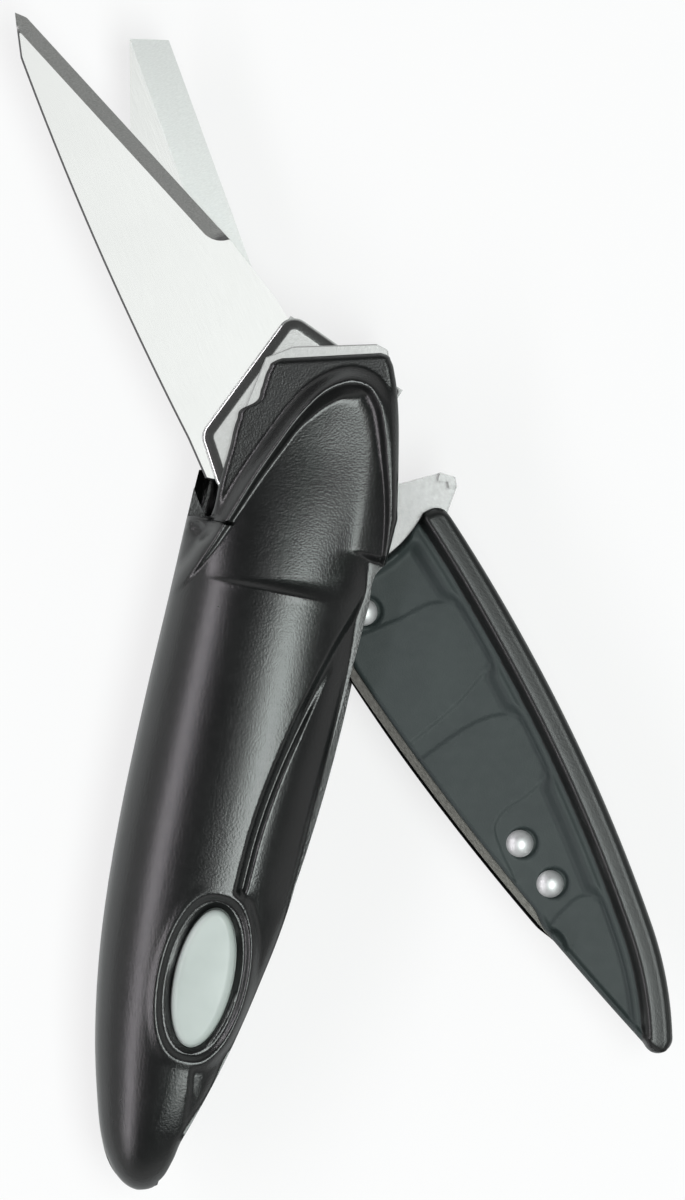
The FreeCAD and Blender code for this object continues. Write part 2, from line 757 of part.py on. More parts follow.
def cover_blank(name, front, outer, cavity, step_share):
    """One half of the handle: swelling grip, arch, collar, hollow and mouth for the lever."""
    half = common(f"{name}Half", outer, half_box(f"{name}Side", front, step_share))
    low = FRAME_OUTER if front else "0 - grip_depth"
    plate_low = FRAME_OUTER if front else f"0 - {COLLAR_TOP}"
    arch = prism(f"{name}ArchRegion", collar(ARCH_SHARES), low, f"grip_depth - {FRAME_OUTER}")
    hood = common(f"{name}Hood", outer, arch)
    collar_plate = prism(f"{name}Collar", collar(COLLAR_SHARES), plate_low, "collar_thickness")
    blank = join(f"{name}Blank", half, hood, collar_plate)
    lip = prism(f"{name}Lip", grip(LIP_SHARES), "0 - grip_depth", "grip_depth * 2")
    mouth = prism(f"{name}Mouth", grip(MOUTH_SHARES), f"0 - {MOUTH}", f"{MOUTH} * 2")
    swing = column(f"{name}Swing", *PIVOT, "shell_radius - sweep_clearance", f"0 - {FRAME_OUTER}",
                   f"{FRAME_OUTER} * 2")
    throat = prism(f"{name}Throat", grip(THROAT_SHARES), f"0 - {FRAME_OUTER}", f"{FRAME_OUTER} * 2")
    return cut(f"{name}Hollow", blank, lip, cavity, mouth, swing, throat)


def pin_sockets(name, front):
    low = FRAME_OUTER if front else f"0 - {FRAME_OUTER} - pin_socket"
    holes = [PIVOT_HOLE, STOP_HOLE]
    return [column(f"{name}Socket{number}", *hole, low, "pin_socket")
            for number, hole in enumerate(holes, 1)]


def make_front_cover(outer, inner, cavity):
    """Front half: thumb dish, curved groove with its wing, button well, ring and screw posts."""
    blank = cover_blank("FrontCover", True, outer, cavity, FRONT_COVER_STEP_SHARE)
    groove_core = core("GrooveCore", "groove_depth")
    recesses = [
        below("Dish", collar(DISH_SHARES), core("DishCore", "dish_depth")),
        below("Groove", grip(GROOVE_SHARES), groove_core),
        below("Wing", grip(WING_SHARES), core("WingCore", "wing_drop")),
        below("TailGroove", grip(TAIL_GROOVE_SHARES), groove_core),
    ]
    carved = cut("FrontCoverCarved", blank, *recesses)
    posts = [column(f"FrontPost{number}", *place, "boss_radius", "0", "grip_depth")
             for number, place in enumerate(SCREWS, 1)]
    well = oval("ButtonWell", BUTTON, "button_width + 2 * (flange_width + well_wall)",
                "button_length + 2 * well_end", MOUTH, "grip_depth")
    inside = common("FrontCoverInside", join("FrontCoverPosts", *posts, well), inner)
    moat_width = "button_width + 2 * moat_width"
    moat_length = "button_length + 2 * moat_width"
    ring_outer = oval("RingOuter", BUTTON, f"{moat_width} + 2 * ring_width",
                      f"{moat_length} + 2 * ring_width", FRAME_OUTER, "grip_depth")
    grown = core("RingForm", "0 - ring_height")
    ring = common("Ring", ring_outer, grown)
    ring_trimmed = cut("RingTrimmed", ring, cavity)
    whole = join("FrontCoverWhole", carved, inside, ring_trimmed)
    moat_region = oval("MoatRegion", BUTTON, moat_width, moat_length, FRAME_OUTER, "grip_depth")
    moat = cut("Moat", moat_region, core("MoatCore", "moat_depth"))
    hole = oval("ButtonHole", BUTTON, "button_width + 2 * button_clearance",
                "button_length + 2 * button_clearance", FRAME_INNER, "grip_depth")
    foot_room = "2 * (flange_width + button_clearance)"
    pocket = oval("ButtonPocket", BUTTON, f"button_width + {foot_room}", f"button_length + {foot_room}",
                  FRAME_INNER, f"{WELL_TOP} - {FRAME_INNER}")
    drillings = [column(f"FrontPilot{number}", *place, "screw_radius + fit_clearance", "0", "screw_reach")
                 for number, place in enumerate(SCREWS, 1)]
    drillings += [column(f"RetainerPilot{number}", *place, "retainer_screw_radius + fit_clearance",
                         MOUTH, "retainer_screw_length - retainer_thickness")
                  for number, place in enumerate(retainer_screw_places(), 1)]
    return cut("FrontCoverDone", whole, moat, hole, pocket, *drillings, *pin_sockets("Front", True))


def retainer_screw_places():
    reach = "(button_length / 2 + flange_width + button_clearance + retainer_margin / 2)"
    return [(BUTTON[0], f"{BUTTON[1]} + {reach}"), (BUTTON[0], f"{BUTTON[1]} - {reach}")]


def make_rear_cover(outer, inner, cavity):
    """Rear half: plain outside, with posts and sunk seats for the cover screws."""
    blank = cover_blank("RearCover", False, outer, cavity, REAR_COVER_STEP_SHARE)
    posts = []
    seats = []
    drillings = []
    for number, place in enumerate(SCREWS, 1):
        posts.append(column(f"RearPost{number}", *place, "boss_radius", "0 - grip_depth", "grip_depth"))
        seats.append(column(f"RearSeat{number}", *place, "seat_radius", "0 - grip_depth",
                            "grip_depth - screw_seat + seat_thickness"))
        drillings.append(column(f"RearHole{number}", *place, "screw_radius + run_clearance",
                                "0 - grip_depth", "grip_depth"))
        drillings.append(column(f"RearSink{number}", *place, "screw_head_radius + button_clearance",
                                "0 - grip_depth", "grip_depth - screw_seat"))
    inside = common("RearCoverInside", join("RearCoverPosts", *posts, *seats), inner)
    whole = join("RearCoverWhole", blank, inside)
    return cut("RearCoverDone", whole, *drillings, *pin_sockets("Rear", False))


def rivet(name, x, y, bottom, top):
    """Rivet with a domed front head and a flat rear head."""
    shank = column(f"{name}Shank", x, y, "rivet_radius", bottom, f"{top} - {bottom}")
    tail = column(f"{name}Tail", x, y, "rivet_head_radius", f"{bottom} - rivet_tail_height",
                  "rivet_tail_height")
    ball = doc.addObject("Part::Sphere", f"{name}Ball")
    bulge = "(rivet_head_radius ^ 2 + rivet_head_height ^ 2) / (2 * rivet_head_height)"
    bind(ball, "Radius", bulge)
    bind(ball, "Placement.Base.x", x)
    bind(ball, "Placement.Base.y", y)
    bind(ball, "Placement.Base.z", f"{top} + rivet_head_height - {bulge}")
    crown = column(f"{name}Crown", x, y, "rivet_head_radius", top, "rivet_head_height")
    return join(name, shank, tail, common(f"{name}Dome", ball, crown))


def lever_half(name, front, outer, floor_level, arm_prism):
    """One lever moulding: thick rim on the handle's own curve, thin floor, round top end."""
    rim_level = "lever_depth / 2"
    bottom = ARM_TOP if front else f"0 - {rim_level}"
    height = f"{rim_level} - {ARM_TOP}" if front else f"{rim_level} + {ARM_TOP}"
    block = prism(f"{name}Block", grip(LEVER_SHARES), bottom, height)
    recess_low = floor_level if front else f"{floor_level} - grip_depth"
    recess = prism(f"{name}Recess", grip(RECESS_SHARES), recess_low, "grip_depth")
    swing = column(f"{name}Swing", *PIVOT, "shell_radius", "0 - grip_depth", "grip_depth * 2")
    shaped = common(f"{name}Shaped", cut(f"{name}Floor", block, recess, swing), outer)
    if not front:
        return cut(f"{name}Pocketed", shaped, arm_prism)
    return shaped


def make_lever_front(outer):
    """Front moulding with raised panels on the floor and the catch for the locking peg."""
    shell = lever_half("LeverFront", True, outer, FLOOR_TOP, None)
    panels = [prism(f"LeverPanel{number}", grip(shares), ARM_TOP, "lever_floor + panel_height")
              for number, shares in enumerate(PANEL_SHARES, 1)]
    catch = oval("LeverCatch", at(CATCH_SHARE), "catch_width", "catch_length", ARM_TOP,
                 f"{CATCH_TOP} - {ARM_TOP}")
    whole = join("LeverFrontWhole", shell, catch, *panels)
    holes = [column(f"LeverFrontHole{number}", *hole, ARM_TOP, "lever_floor + panel_height")
             for number, hole in enumerate(LEVER_RIVET_HOLES, 1)]
    sinks = [column(f"LeverFrontSink{number}", x, y, "rivet_head_radius + button_clearance", FLOOR_TOP,
                    "panel_height") for number, (x, y) in enumerate(LEVER_RIVETS, 1)]
    return cut("LeverFrontDone", whole, *holes, *sinks)


def make_lever_rear(outer, arm_rows):
    arm_prism = prism("ArmRoom", arm_rows, ARM_BOTTOM, "arm_thickness")
    shell = lever_half("LeverRear", False, outer, FLOOR_BOTTOM, arm_prism)
    holes = [column(f"LeverRearHole{number}", *hole, FLOOR_BOTTOM, "lever_floor")
             for number, hole in enumerate(LEVER_RIVET_HOLES, 1)]
    return cut("LeverRearDone", shell, *holes)


def make_button(outer):
    """Oval button on the handle's own curve, with a foot that keeps it in and a locking peg."""
    head = oval("ButtonHead", BUTTON, "button_width", "button_length", FLANGE_BOTTOM, "grip_depth")
    crown = common("ButtonCrown", head, outer)
    foot = oval("ButtonFoot", BUTTON, "button_width + 2 * flange_width",
                "button_length + 2 * flange_width", FLANGE_BOTTOM, "flange_thickness")
    peg_bottom = f"({CATCH_TOP} + peg_clearance)"
    peg = column("ButtonPeg", *PEG, "peg_radius", peg_bottom, f"{FLANGE_BOTTOM} - {peg_bottom}")
    return join("Button", crown, foot, peg)


def make_retainer():
    blank = oval("RetainerBlank", BUTTON, "button_width + flange_width",
                 "button_length + 2 * (flange_width + retainer_margin)",
                 f"{MOUTH} - retainer_thickness", "retainer_thickness")
    low = f"{MOUTH} - retainer_thickness"
    peg_hole = column("RetainerPegHole", *PEG, "peg_radius + button_clearance", low, "retainer_thickness")
    holes = [column(f"RetainerHole{number}", *place, "retainer_screw_radius + run_clearance", low,
                    "retainer_thickness") for number, place in enumerate(retainer_screw_places(), 1)]
    return cut("Retainer", blank, peg_hole, *holes)


def retainer_screw(number, place):
    low = f"{MOUTH} - retainer_thickness"
    shank = column(f"RetainerScrewShank{number}", *place, "retainer_screw_radius", low,
                   "retainer_screw_length")
    head = column(f"RetainerScrewHead{number}", *place, "retainer_screw_head_radius",
                  f"{low} - retainer_screw_head", "retainer_screw_head")
    return join(f"RetainerScrew{number}", shank, head)


def cover_screw(number, place):
    shank = column(f"ScrewShank{number}", *place, "screw_radius", "0 - screw_seat",
                   "screw_seat + screw_reach")
    head = column(f"ScrewHead{number}", *place, "screw_head_radius", "0 - screw_seat - screw_head",
                  "screw_head")
    return join(f"Screw{number}", shank, head)


def make_button_spring():
    """Bowed leaf between the retainer and the button's foot."""
    body = doc.addObject("PartDesign::Body", "ButtonSpring")
    sketch = body_sketch(body, "ButtonSpringProfile", "YZ_Plane", BUTTON[0])
    middle = f"grip_length * {BUTTON_SPRING_SHARE}"
    half = "button_spring_span / 2"
    low = f"({MOUTH} + fit_clearance)"
    crown = f"({FLANGE_BOTTOM} - fit_clearance)"
    toe = "button_spring_thickness * 2"
    draw_outline(sketch, [
        (f"{middle} + {half}", low, False),
        (middle, crown, True),
        (f"{middle} - {half}", low, False),
        (f"{middle} - {half} + {toe}", low, False),
        (middle, f"{crown} - button_spring_thickness", True),
        (f"{middle} + {half} - {toe}", low, False),
    ])
    pad = add_pad(body, "ButtonSpringPad", sketch, "button_spring_width")
    pad.Midplane = True
    return body


def make_lever_spring():
    """Hairpin leaf: a foot along the left wall, a tight bend and a leg that pushes the arm open."""
    body = doc.addObject("PartDesign::Body", "LeverSpring")
    sketch = body_sketch(body, "LeverSpringProfile", "XY_Plane", "0 - lever_spring_width / 2")
    foot, heel, bottom, leg, tip = [at(share) for share in (
        SPRING_FOOT_SHARE, SPRING_HEEL_SHARE, SPRING_BEND_SHARE, SPRING_LEG_SHARE, SPRING_TIP_SHARE)]
    strip = "lever_spring_thickness"
    slant = f"{strip} * {STRIP_SLANT_SHARE}"
    draw_outline(sketch, [
        (*foot, False),
        (*heel, False),
        (*bottom, True),
        (*leg, False),
        (*tip, False),
        (f"{tip[0]} - {slant}", f"{tip[1]} + {slant}", False),
        (f"{leg[0]} - {slant}", f"{leg[1]} + {slant}", False),
        (bottom[0], f"{bottom[1]} + {strip}", True),
        (f"{heel[0]} + {strip}", heel[1], False),
        (f"{foot[0]} + {strip}", foot[1], False),
    ])
    add_pad(body, "LeverSpringPad", sketch, "lever_spring_width")
    return body


def through_pin(name, x, y, radius):
    """A pin across both frame plates with its ends in the covers."""
    reach = f"({FRAME_OUTER} + pin_socket - fit_clearance)"
    shaft = column(f"{name}Shaft", x, y, radius, f"0 - {reach}", f"{reach} * 2")
    return group(name, [shaft])


def build_parts():
    """Make every piece; give a list of label, object and group."""
    outer = pod("PodOuter", POD_STATION_SHARES, "0")
    inner = core("PodInner", "cover_wall / 2")
    cavity = pod("PodCavity", POD_STATION_SHARES[CAVITY_STATIONS], "cover_wall")
    cavity.Ruled = True
    doc.recompute()
    arm, arm_rows = make_arm()
    root_rivets = [column(f"RootRivet{number}", *place, "root_rivet_radius", ARM_BOTTOM,
                          f"{BRACKET_TOP} - {ARM_BOTTOM}") for number, place in enumerate(ROOT_RIVETS, 1)]
    lever_rivets = [rivet(f"LeverRivet{number}", *place, FLOOR_BOTTOM, FLOOR_TOP)
                    for number, place in enumerate(LEVER_RIVETS, 1)]
    drive_low = f"{REAR_BLADE_BOTTOM} + fit_clearance"
    drive_shaft = column("DriveShaft", *DRIVE_PIN, "drive_pin_radius", drive_low,
                         f"{ARM_TOP} - ({drive_low})")
    screws = [cover_screw(number, place) for number, place in enumerate(SCREWS, 1)]
    small_screws = [retainer_screw(number, place)
                    for number, place in enumerate(retainer_screw_places(), 1)]
    return [
        ("handle_front_cover", make_front_cover(outer, inner, cavity), "handle"),
        ("handle_rear_cover", make_rear_cover(outer, inner, cavity), "handle"),
        ("frame_front_plate", frame_plate("FrameFront", FRAME_INNER), "handle"),
        ("frame_rear_plate", frame_plate("FrameRear", f"0 - {FRAME_OUTER}"), "handle"),
        ("pivot_pin", through_pin("PivotPin", *PIVOT, "pin_radius"), "handle"),
        ("stop_pin", through_pin("StopPin", *STOP, "stop_radius"), "handle"),
        ("cover_screws", group("CoverScrews", screws), "handle"),
        ("lever_spring", make_lever_spring(), "handle"),
        ("button_retainer", make_retainer(), "handle"),
        ("retainer_screws", group("RetainerScrews", small_screws), "handle"),
        ("button_spring", make_button_spring(), "handle"),
        ("lock_button", make_button(outer), "handle"),
        ("lever_arm", arm, "lever"),
        ("blade_bracket", make_bracket(), "lever"),
        ("front_blade", make_front_blade(), "lever"),
        ("blade_rivets", group("RootRivets", root_rivets), "lever"),
        ("lever_front_shell", make_lever_front(outer), "lever"),
        ("lever_rear_shell", make_lever_rear(outer, arm_rows), "lever"),
        ("lever_rivets", group("LeverRivets", lever_rivets), "lever"),
        ("drive_pin", group("DrivePin", [drive_shaft]), "lever"),
        ("rear_blade", make_rear_blade(), "rear_blade"),
    ]


def check_document():
    for item in doc.Objects:
        if "Invalid" in item.State or "Error" in item.State:
            raise RuntimeError(f"{item.Name} failed: {item.getStatusString()}")


def check_shape(label, shape):
    if shape.isNull() or not shape.isValid():
        raise RuntimeError(f"{label} has no valid shape")


parts = build_parts()
doc.recompute()
check_document()

# Turn each group to its rest position about the pivot, then stand the part on its lowest point
rest_turn = {
    "handle": value("0 - handle_lean"),
    "lever": value("lever_opening - handle_lean"),
    "rear_blade": value("rear_blade_opening - handle_lean"),
}
bounds = FreeCAD.BoundBox()
for label, item, body_group in parts:
    shape = item.Shape.copy()
    shape.Placement = FreeCAD.Placement(
        FreeCAD.Vector(0, 0, 0), FreeCAD.Rotation(FreeCAD.Vector(0, 0, 1), rest_turn[body_group])
    ).multiply(shape.Placement)
    bounds.add(shape.optimalBoundingBox(False))
pivot_place = FreeCAD.Vector(-bounds.Center.x, -bounds.Center.y, -bounds.ZMin)
for label, item, body_group in parts:
    item.Label = label
    turn = FreeCAD.Rotation(FreeCAD.Vector(0, 0, 1), rest_turn[body_group])
    item.Placement = FreeCAD.Placement(pivot_place, turn).multiply(item.Placement)
doc.recompute()
check_document()

os.makedirs("parts", exist_ok=True)
for label, item, body_group in parts:
    check_shape(label, item.Shape)
    item.Shape.exportStep(os.path.join("parts", f"{label}.step"))
    print(label, len(item.Shape.Solids), round(item.Shape.Volume, 3))
print("pivot", pivot_place)
print("box", bounds)
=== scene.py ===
import json
import math

import bmesh
import bpy
import numpy as np
from mathutils import Matrix, Vector


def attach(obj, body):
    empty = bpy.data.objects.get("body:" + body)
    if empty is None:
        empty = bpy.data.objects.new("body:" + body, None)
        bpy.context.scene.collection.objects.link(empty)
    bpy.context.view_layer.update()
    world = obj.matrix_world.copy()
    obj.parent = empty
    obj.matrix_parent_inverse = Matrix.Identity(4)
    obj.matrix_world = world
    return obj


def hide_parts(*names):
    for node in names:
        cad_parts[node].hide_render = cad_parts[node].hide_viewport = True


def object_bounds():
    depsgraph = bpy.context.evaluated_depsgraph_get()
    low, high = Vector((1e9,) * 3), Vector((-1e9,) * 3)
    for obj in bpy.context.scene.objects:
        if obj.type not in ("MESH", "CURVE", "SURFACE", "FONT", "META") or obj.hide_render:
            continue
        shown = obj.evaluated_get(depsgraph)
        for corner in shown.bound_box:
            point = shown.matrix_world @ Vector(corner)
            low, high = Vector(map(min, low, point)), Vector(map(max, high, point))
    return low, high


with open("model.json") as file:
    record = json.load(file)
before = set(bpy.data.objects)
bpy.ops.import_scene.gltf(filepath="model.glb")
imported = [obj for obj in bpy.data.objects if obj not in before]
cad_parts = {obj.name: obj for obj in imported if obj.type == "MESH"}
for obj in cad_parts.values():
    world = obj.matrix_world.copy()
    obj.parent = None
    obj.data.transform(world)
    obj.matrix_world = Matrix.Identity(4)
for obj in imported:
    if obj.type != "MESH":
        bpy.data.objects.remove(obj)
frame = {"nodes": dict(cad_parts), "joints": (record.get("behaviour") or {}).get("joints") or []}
cad_low, cad_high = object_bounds()
nodes = frame["nodes"]

MM = 0.001
PIVOT = Vector(next(j["pos_m"] for j in frame["joints"] if j["name"] == "lever_hinge"))
PHOTO_SCALE = 6.84  # pixels to a millimetre
PHOTO_SIZE = (685, 1200)
PHOTO_PIVOT = (312, 455)
HANDLE_TURN = math.radians(-12.6)
LEVER_TURN = math.radians(27.4)


# Materials: noise in repeats per metre, bumps in metres

TONE_STOPS = (0.3, 0.7)
DRIFT_SCALE = 120
GLOSS_SCALE = 700
CLOUD_SCALE = 90
LINE_SHARE = 0.7
LINE_ROUGH = 0.6
BRUSH_BUMP = 0.05
BRUSH_DEPTH = 0.00001
FLAT_NORMAL = (0.985, 0.997)
SIDE_NORMAL = (0.72, 0.82)
# painted shade: the dark tones given to the steel's steep sides
SIDE_SHADE_DARK = (0.10, 0.10, 0.10)
SIDE_SHADE_LIGHT = (0.20, 0.20, 0.20)


def material(name):
    made = bpy.data.materials.new(name)
    made.use_nodes = True
    return made, made.node_tree, made.node_tree.nodes["Principled BSDF"]


def node(tree, kind, **values):
    made = tree.nodes.new(kind)
    for key, content in values.items():
        setattr(made, key, content)
    return made


def stretched(tree, scale, turn=0.0):
    """Object coordinates turned about Z, then scaled."""
    place = node(tree, "ShaderNodeTexCoord")
    spin = node(tree, "ShaderNodeMapping")
    spin.inputs["Rotation"].default_value = (0, 0, turn)
    size = node(tree, "ShaderNodeMapping")
    size.inputs["Scale"].default_value = scale
    tree.links.new(place.outputs["Object"], spin.inputs["Vector"])
    tree.links.new(spin.outputs["Vector"], size.inputs["Vector"])
    return size.outputs["Vector"]


def noise(tree, vector, detail=2.0, rough=0.5):
    made = node(tree, "ShaderNodeTexNoise")
    made.inputs["Scale"].default_value = 1.0
    made.inputs["Detail"].default_value = detail
    made.inputs["Roughness"].default_value = rough
    tree.links.new(vector, made.inputs["Vector"])
    return made.outputs["Fac"]


def tones(tree, factor, dark, light):
    """A colour that goes from dark to light over the middle of a noise's range."""
    made = node(tree, "ShaderNodeValToRGB")
    for element, place, colour in zip(made.color_ramp.elements, TONE_STOPS, (dark, light)):
        element.position = place
        element.color = (*colour, 1)
    tree.links.new(factor, made.inputs["Fac"])
    return made.outputs["Color"]


def spread(tree, factor, low, high):
    """low where the factor is 0 and high where it is 1."""
    made = node(tree, "ShaderNodeMapRange")
    made.inputs["To Min"].default_value = low
    made.inputs["To Max"].default_value = high
    tree.links.new(factor, made.inputs["Value"])
    return made.outputs["Result"]


def between(tree, value, low, high):
    """0 where the value is low and 1 where it is high."""
    made = node(tree, "ShaderNodeMapRange")
    made.inputs["From Min"].default_value = low
    made.inputs["From Max"].default_value = high
    tree.links.new(value, made.inputs["Value"])
    return made.outputs["Result"]


def bump(tree, shader, height, strength, distance):
    made = node(tree, "ShaderNodeBump")
    made.inputs["Strength"].default_value = strength
    made.inputs["Distance"].default_value = distance
    tree.links.new(height, made.inputs["Height"])
    tree.links.new(made.outputs["Normal"], shader.inputs["Normal"])


def mixed(tree, kind, factor, low, high):
    """low where the factor is 0, high where it is 1, as colours (RGBA) or numbers (FLOAT)."""
    made = node(tree, "ShaderNodeMix", data_type=kind)
    inputs = [socket for socket in made.inputs if socket.enabled]
    for source, socket in zip((factor, low, high), inputs):
        tree.links.new(source, socket)
    return next(socket for socket in made.outputs if socket.enabled)


def moulded(name, dark, light, rough, grain, strength, level, depth=0.00002):
    """Moulded plastic: a slow drift of tone, uneven gloss and a fine spark-eroded grain."""
    made, tree, shader = material(name)
    drift = noise(tree, stretched(tree, [DRIFT_SCALE] * 3), 3.0)
    tree.links.new(tones(tree, drift, dark, light), shader.inputs["Base Color"])
    gloss = noise(tree, stretched(tree, [GLOSS_SCALE] * 3), 4.0)
    tree.links.new(spread(tree, gloss, *rough), shader.inputs["Roughness"])
    bump(tree, shader, noise(tree, stretched(tree, [grain] * 3)), strength, depth)
    shader.inputs["Specular IOR Level"].default_value = level
    return made


def brushed(name, dark, light, rough, turn, along=300.0, across=9000.0, ground=None, far_shade=None):
    """Steel with fine lines along the turned Y axis.

    With ground, faces that slope have its lines, roughness and darker tones: the lines and roughness are the
    ground finish, the darker tones are partly painted shade. Steep sides are painted dark, as painted shade.
    With far_shade, the steel is painted darker far from the pivot: painted shade on the arm's strip between the
    handle and the lever.
    """
    made, tree, shader = material(name)
    lines = noise(tree, stretched(tree, (across, along, across), turn), 3.0, LINE_ROUGH)
    cloud = noise(tree, stretched(tree, [CLOUD_SCALE] * 3, turn))
    tone = node(tree, "ShaderNodeMath", operation="ADD")
    tree.links.new(spread(tree, lines, 0.0, LINE_SHARE), tone.inputs[0])
    tree.links.new(spread(tree, cloud, 0.0, 1 - LINE_SHARE), tone.inputs[1])
    colour = tones(tree, tone.outputs[0], dark, light)
    gloss = spread(tree, lines, *rough)
    if ground:
        ground_turn = turn + ground["turn"]
        ground_lines = noise(tree, stretched(tree, (along, across, across), ground_turn), 3.0, LINE_ROUGH)
        slope = node(tree, "ShaderNodeNewGeometry")
        facing = node(tree, "ShaderNodeSeparateXYZ")
        tree.links.new(slope.outputs["Normal"], facing.inputs["Vector"])
        flat = between(tree, facing.outputs["Z"], *FLAT_NORMAL)
        # darker tones on sloping faces: the ground finish's lines, with painted shade in their darkness
        ground_and_shade_tone = tones(tree, ground_lines, ground["dark"], ground["light"])
        colour = mixed(tree, "RGBA", flat, ground_and_shade_tone, colour)
        gloss = mixed(tree, "FLOAT", flat, spread(tree, ground_lines, *ground["rough"]), gloss)
        # steep sides painted dark: painted shade
        not_side = between(tree, facing.outputs["Z"], *SIDE_NORMAL)
        colour = mixed(tree, "RGBA", not_side, tones(tree, ground_lines, SIDE_SHADE_DARK, SIDE_SHADE_LIGHT), colour)
    # painted shade: the arm darkens away from the pivot
    if far_shade:
        place = node(tree, "ShaderNodeTexCoord")
        apart = node(tree, "ShaderNodeVectorMath", operation="DISTANCE")
        apart.inputs[1].default_value = PIVOT
        tree.links.new(place.outputs["Object"], apart.inputs[0])
        far = between(tree, apart.outputs["Value"], far_shade["near"], far_shade["far"])
        colour = mixed(tree, "RGBA", far, colour, tones(tree, lines, far_shade["dark"], far_shade["light"]))
    tree.links.new(colour, shader.inputs["Base Color"])
    tree.links.new(gloss, shader.inputs["Roughness"])
    bump(tree, shader, lines, BRUSH_BUMP, BRUSH_DEPTH)
    shader.inputs["Metallic"].default_value = 1.0
    return made


black_cover = moulded(
    "black_cover", dark=(0.003, 0.0036, 0.0035), light=(0.006, 0.0068, 0.0066), rough=(0.22, 0.29),
    grain=3600, strength=0.7, level=0.72, depth=0.00005)
black_lever = moulded(
    "black_lever", dark=(0.022, 0.031, 0.031), light=(0.030, 0.041, 0.040), rough=(0.54, 0.64),
    grain=3600, strength=0.6, level=0.5, depth=0.00004)
black_rim = moulded(
    "black_rim", dark=(0.004, 0.0048, 0.0046), light=(0.008, 0.0088, 0.0084), rough=(0.32, 0.40),
    grain=3600, strength=0.4, level=0.6, depth=0.00004)
grey_button = moulded(
    "grey_button", dark=(0.46, 0.51, 0.485), light=(0.53, 0.58, 0.555), rough=(0.30, 0.40),
    grain=9000, strength=0.08, level=0.4)

# ground bevels: lines and roughness are the ground finish, their darker tones partly painted shade
front_ground_and_shade = {
    "turn": math.radians(20), "dark": (0.34, 0.345, 0.335), "light": (0.56, 0.565, 0.55), "rough": (0.34, 0.46)}
rear_ground_and_shade = {
    "turn": 0.0, "dark": (0.63, 0.625, 0.62), "light": (0.73, 0.725, 0.72), "rough": (0.34, 0.46)}
# painted shade on the arm's strip between handle and lever, far from the pivot
arm_far_shade = {
    "near": 0.021, "far": 0.027, "dark": (0.05, 0.049, 0.045), "light": (0.12, 0.117, 0.108)}

blade_face = brushed(
    "blade_face", dark=(0.80, 0.82, 0.80), light=(0.86, 0.88, 0.86), rough=(0.09, 0.14),
    turn=math.radians(-23.6), ground=front_ground_and_shade)
rear_face = brushed(
    "rear_face", dark=(0.72, 0.74, 0.72), light=(0.82, 0.84, 0.82), rough=(0.09, 0.14),
    turn=math.radians(-22), ground=rear_ground_and_shade)
satin_steel = brushed(
    "satin_steel", dark=(0.46, 0.47, 0.46), light=(0.58, 0.59, 0.58), rough=(0.14, 0.20),
    turn=math.radians(60), along=2500.0)
arm_steel = brushed(
    "arm_steel", dark=(0.34, 0.345, 0.34), light=(0.48, 0.485, 0.48), rough=(0.14, 0.20),
    turn=math.radians(-40), along=1200.0, far_shade=arm_far_shade)
rivet_steel = brushed(
    "rivet_steel", dark=(0.70, 0.71, 0.71), light=(0.80, 0.81, 0.81), rough=(0.46, 0.56),
    turn=0.0, along=4000.0, across=6000.0)
liner_steel = brushed(
    "liner_steel", dark=(0.46, 0.47, 0.46), light=(0.60, 0.61, 0.60), rough=(0.12, 0.18),
    turn=math.radians(10), along=900.0)
bright_steel = brushed(
    "bright_steel", dark=(0.74, 0.75, 0.75), light=(0.84, 0.84, 0.84), rough=(0.10, 0.16),
    turn=0.0, along=4000.0, across=6000.0)
dark_steel = brushed(
    "dark_steel", dark=(0.30, 0.31, 0.32), light=(0.42, 0.43, 0.44), rough=(0.24, 0.36),
    turn=0.0, along=3000.0, across=6000.0)

finishes = {
    "handle_front_cover": black_cover,
    "handle_rear_cover": black_cover,
    "lever_front_shell": black_lever,
    "lever_rear_shell": black_rim,
    "lock_button": grey_button,
    "front_blade": blade_face,
    "rear_blade": rear_face,
    "blade_bracket": satin_steel,
    "lever_arm": arm_steel,
    "frame_front_plate": liner_steel,
    "frame_rear_plate": liner_steel,
    "lever_rivets": rivet_steel,
    "blade_rivets": satin_steel,
    "pivot_pin": bright_steel,
    "stop_pin": bright_steel,
    "drive_pin": bright_steel,
    "cover_screws": dark_steel,
    "retainer_screws": dark_steel,
    "lever_spring": dark_steel,
    "button_spring": dark_steel,
    "button_retainer": satin_steel,
}
for name, finish in finishes.items():
    slots = nodes[name].data.materials
    slots.clear()
    slots.append(finish)


# Smooth curves, fields and solids. Shapes are in millimetres from the pivot, before the body is turned:
# X to the right, Y to the blades, Z to the front

SAME_PLACE = 0.000002


def ease(low, high, at):
    """0 at low, 1 at high and a smooth change between."""
    t = np.clip((at - low) / (high - low), 0, 1)
    return t * t * (3 - 2 * t)


def blend(ends, values, at):
    """The first value at the first end, the second at the other and a smooth change between."""
    return values[0] + (values[1] - values[0]) * ease(*ends, at)


def ridge_at(distance, middle, width):
    """A soft ridge, 1 at its middle."""
    return np.exp(-((distance - middle) / width) ** 2)


def hermite(places, values, at):
    """A smooth curve through the points, level beyond its ends."""
    places = np.asarray(places, float)
    values = np.asarray(values, float)
    slopes = np.gradient(values, places)
    at = np.clip(at, places[0], places[-1])
    k = np.clip(np.searchsorted(places, at) - 1, 0, len(places) - 2)
    step = places[k + 1] - places[k]
    t = (at - places[k]) / step
    rise = t * t * (3 - 2 * t)
    bend = step * t * (1 - t) * ((1 - t) * slopes[k] - t * slopes[k + 1])
    return values[k] * (1 - rise) + values[k + 1] * rise + bend


def dense(points, count=160):
    """The points of a smooth open line through these ones."""
    points = np.asarray(points, float)
    run = np.concatenate([[0], np.cumsum(np.hypot(*np.diff(points, axis=0).T))])
    at = np.linspace(0, run[-1], count)
    return np.stack([hermite(run, points[:, 0], at), hermite(run, points[:, 1], at)], axis=1)


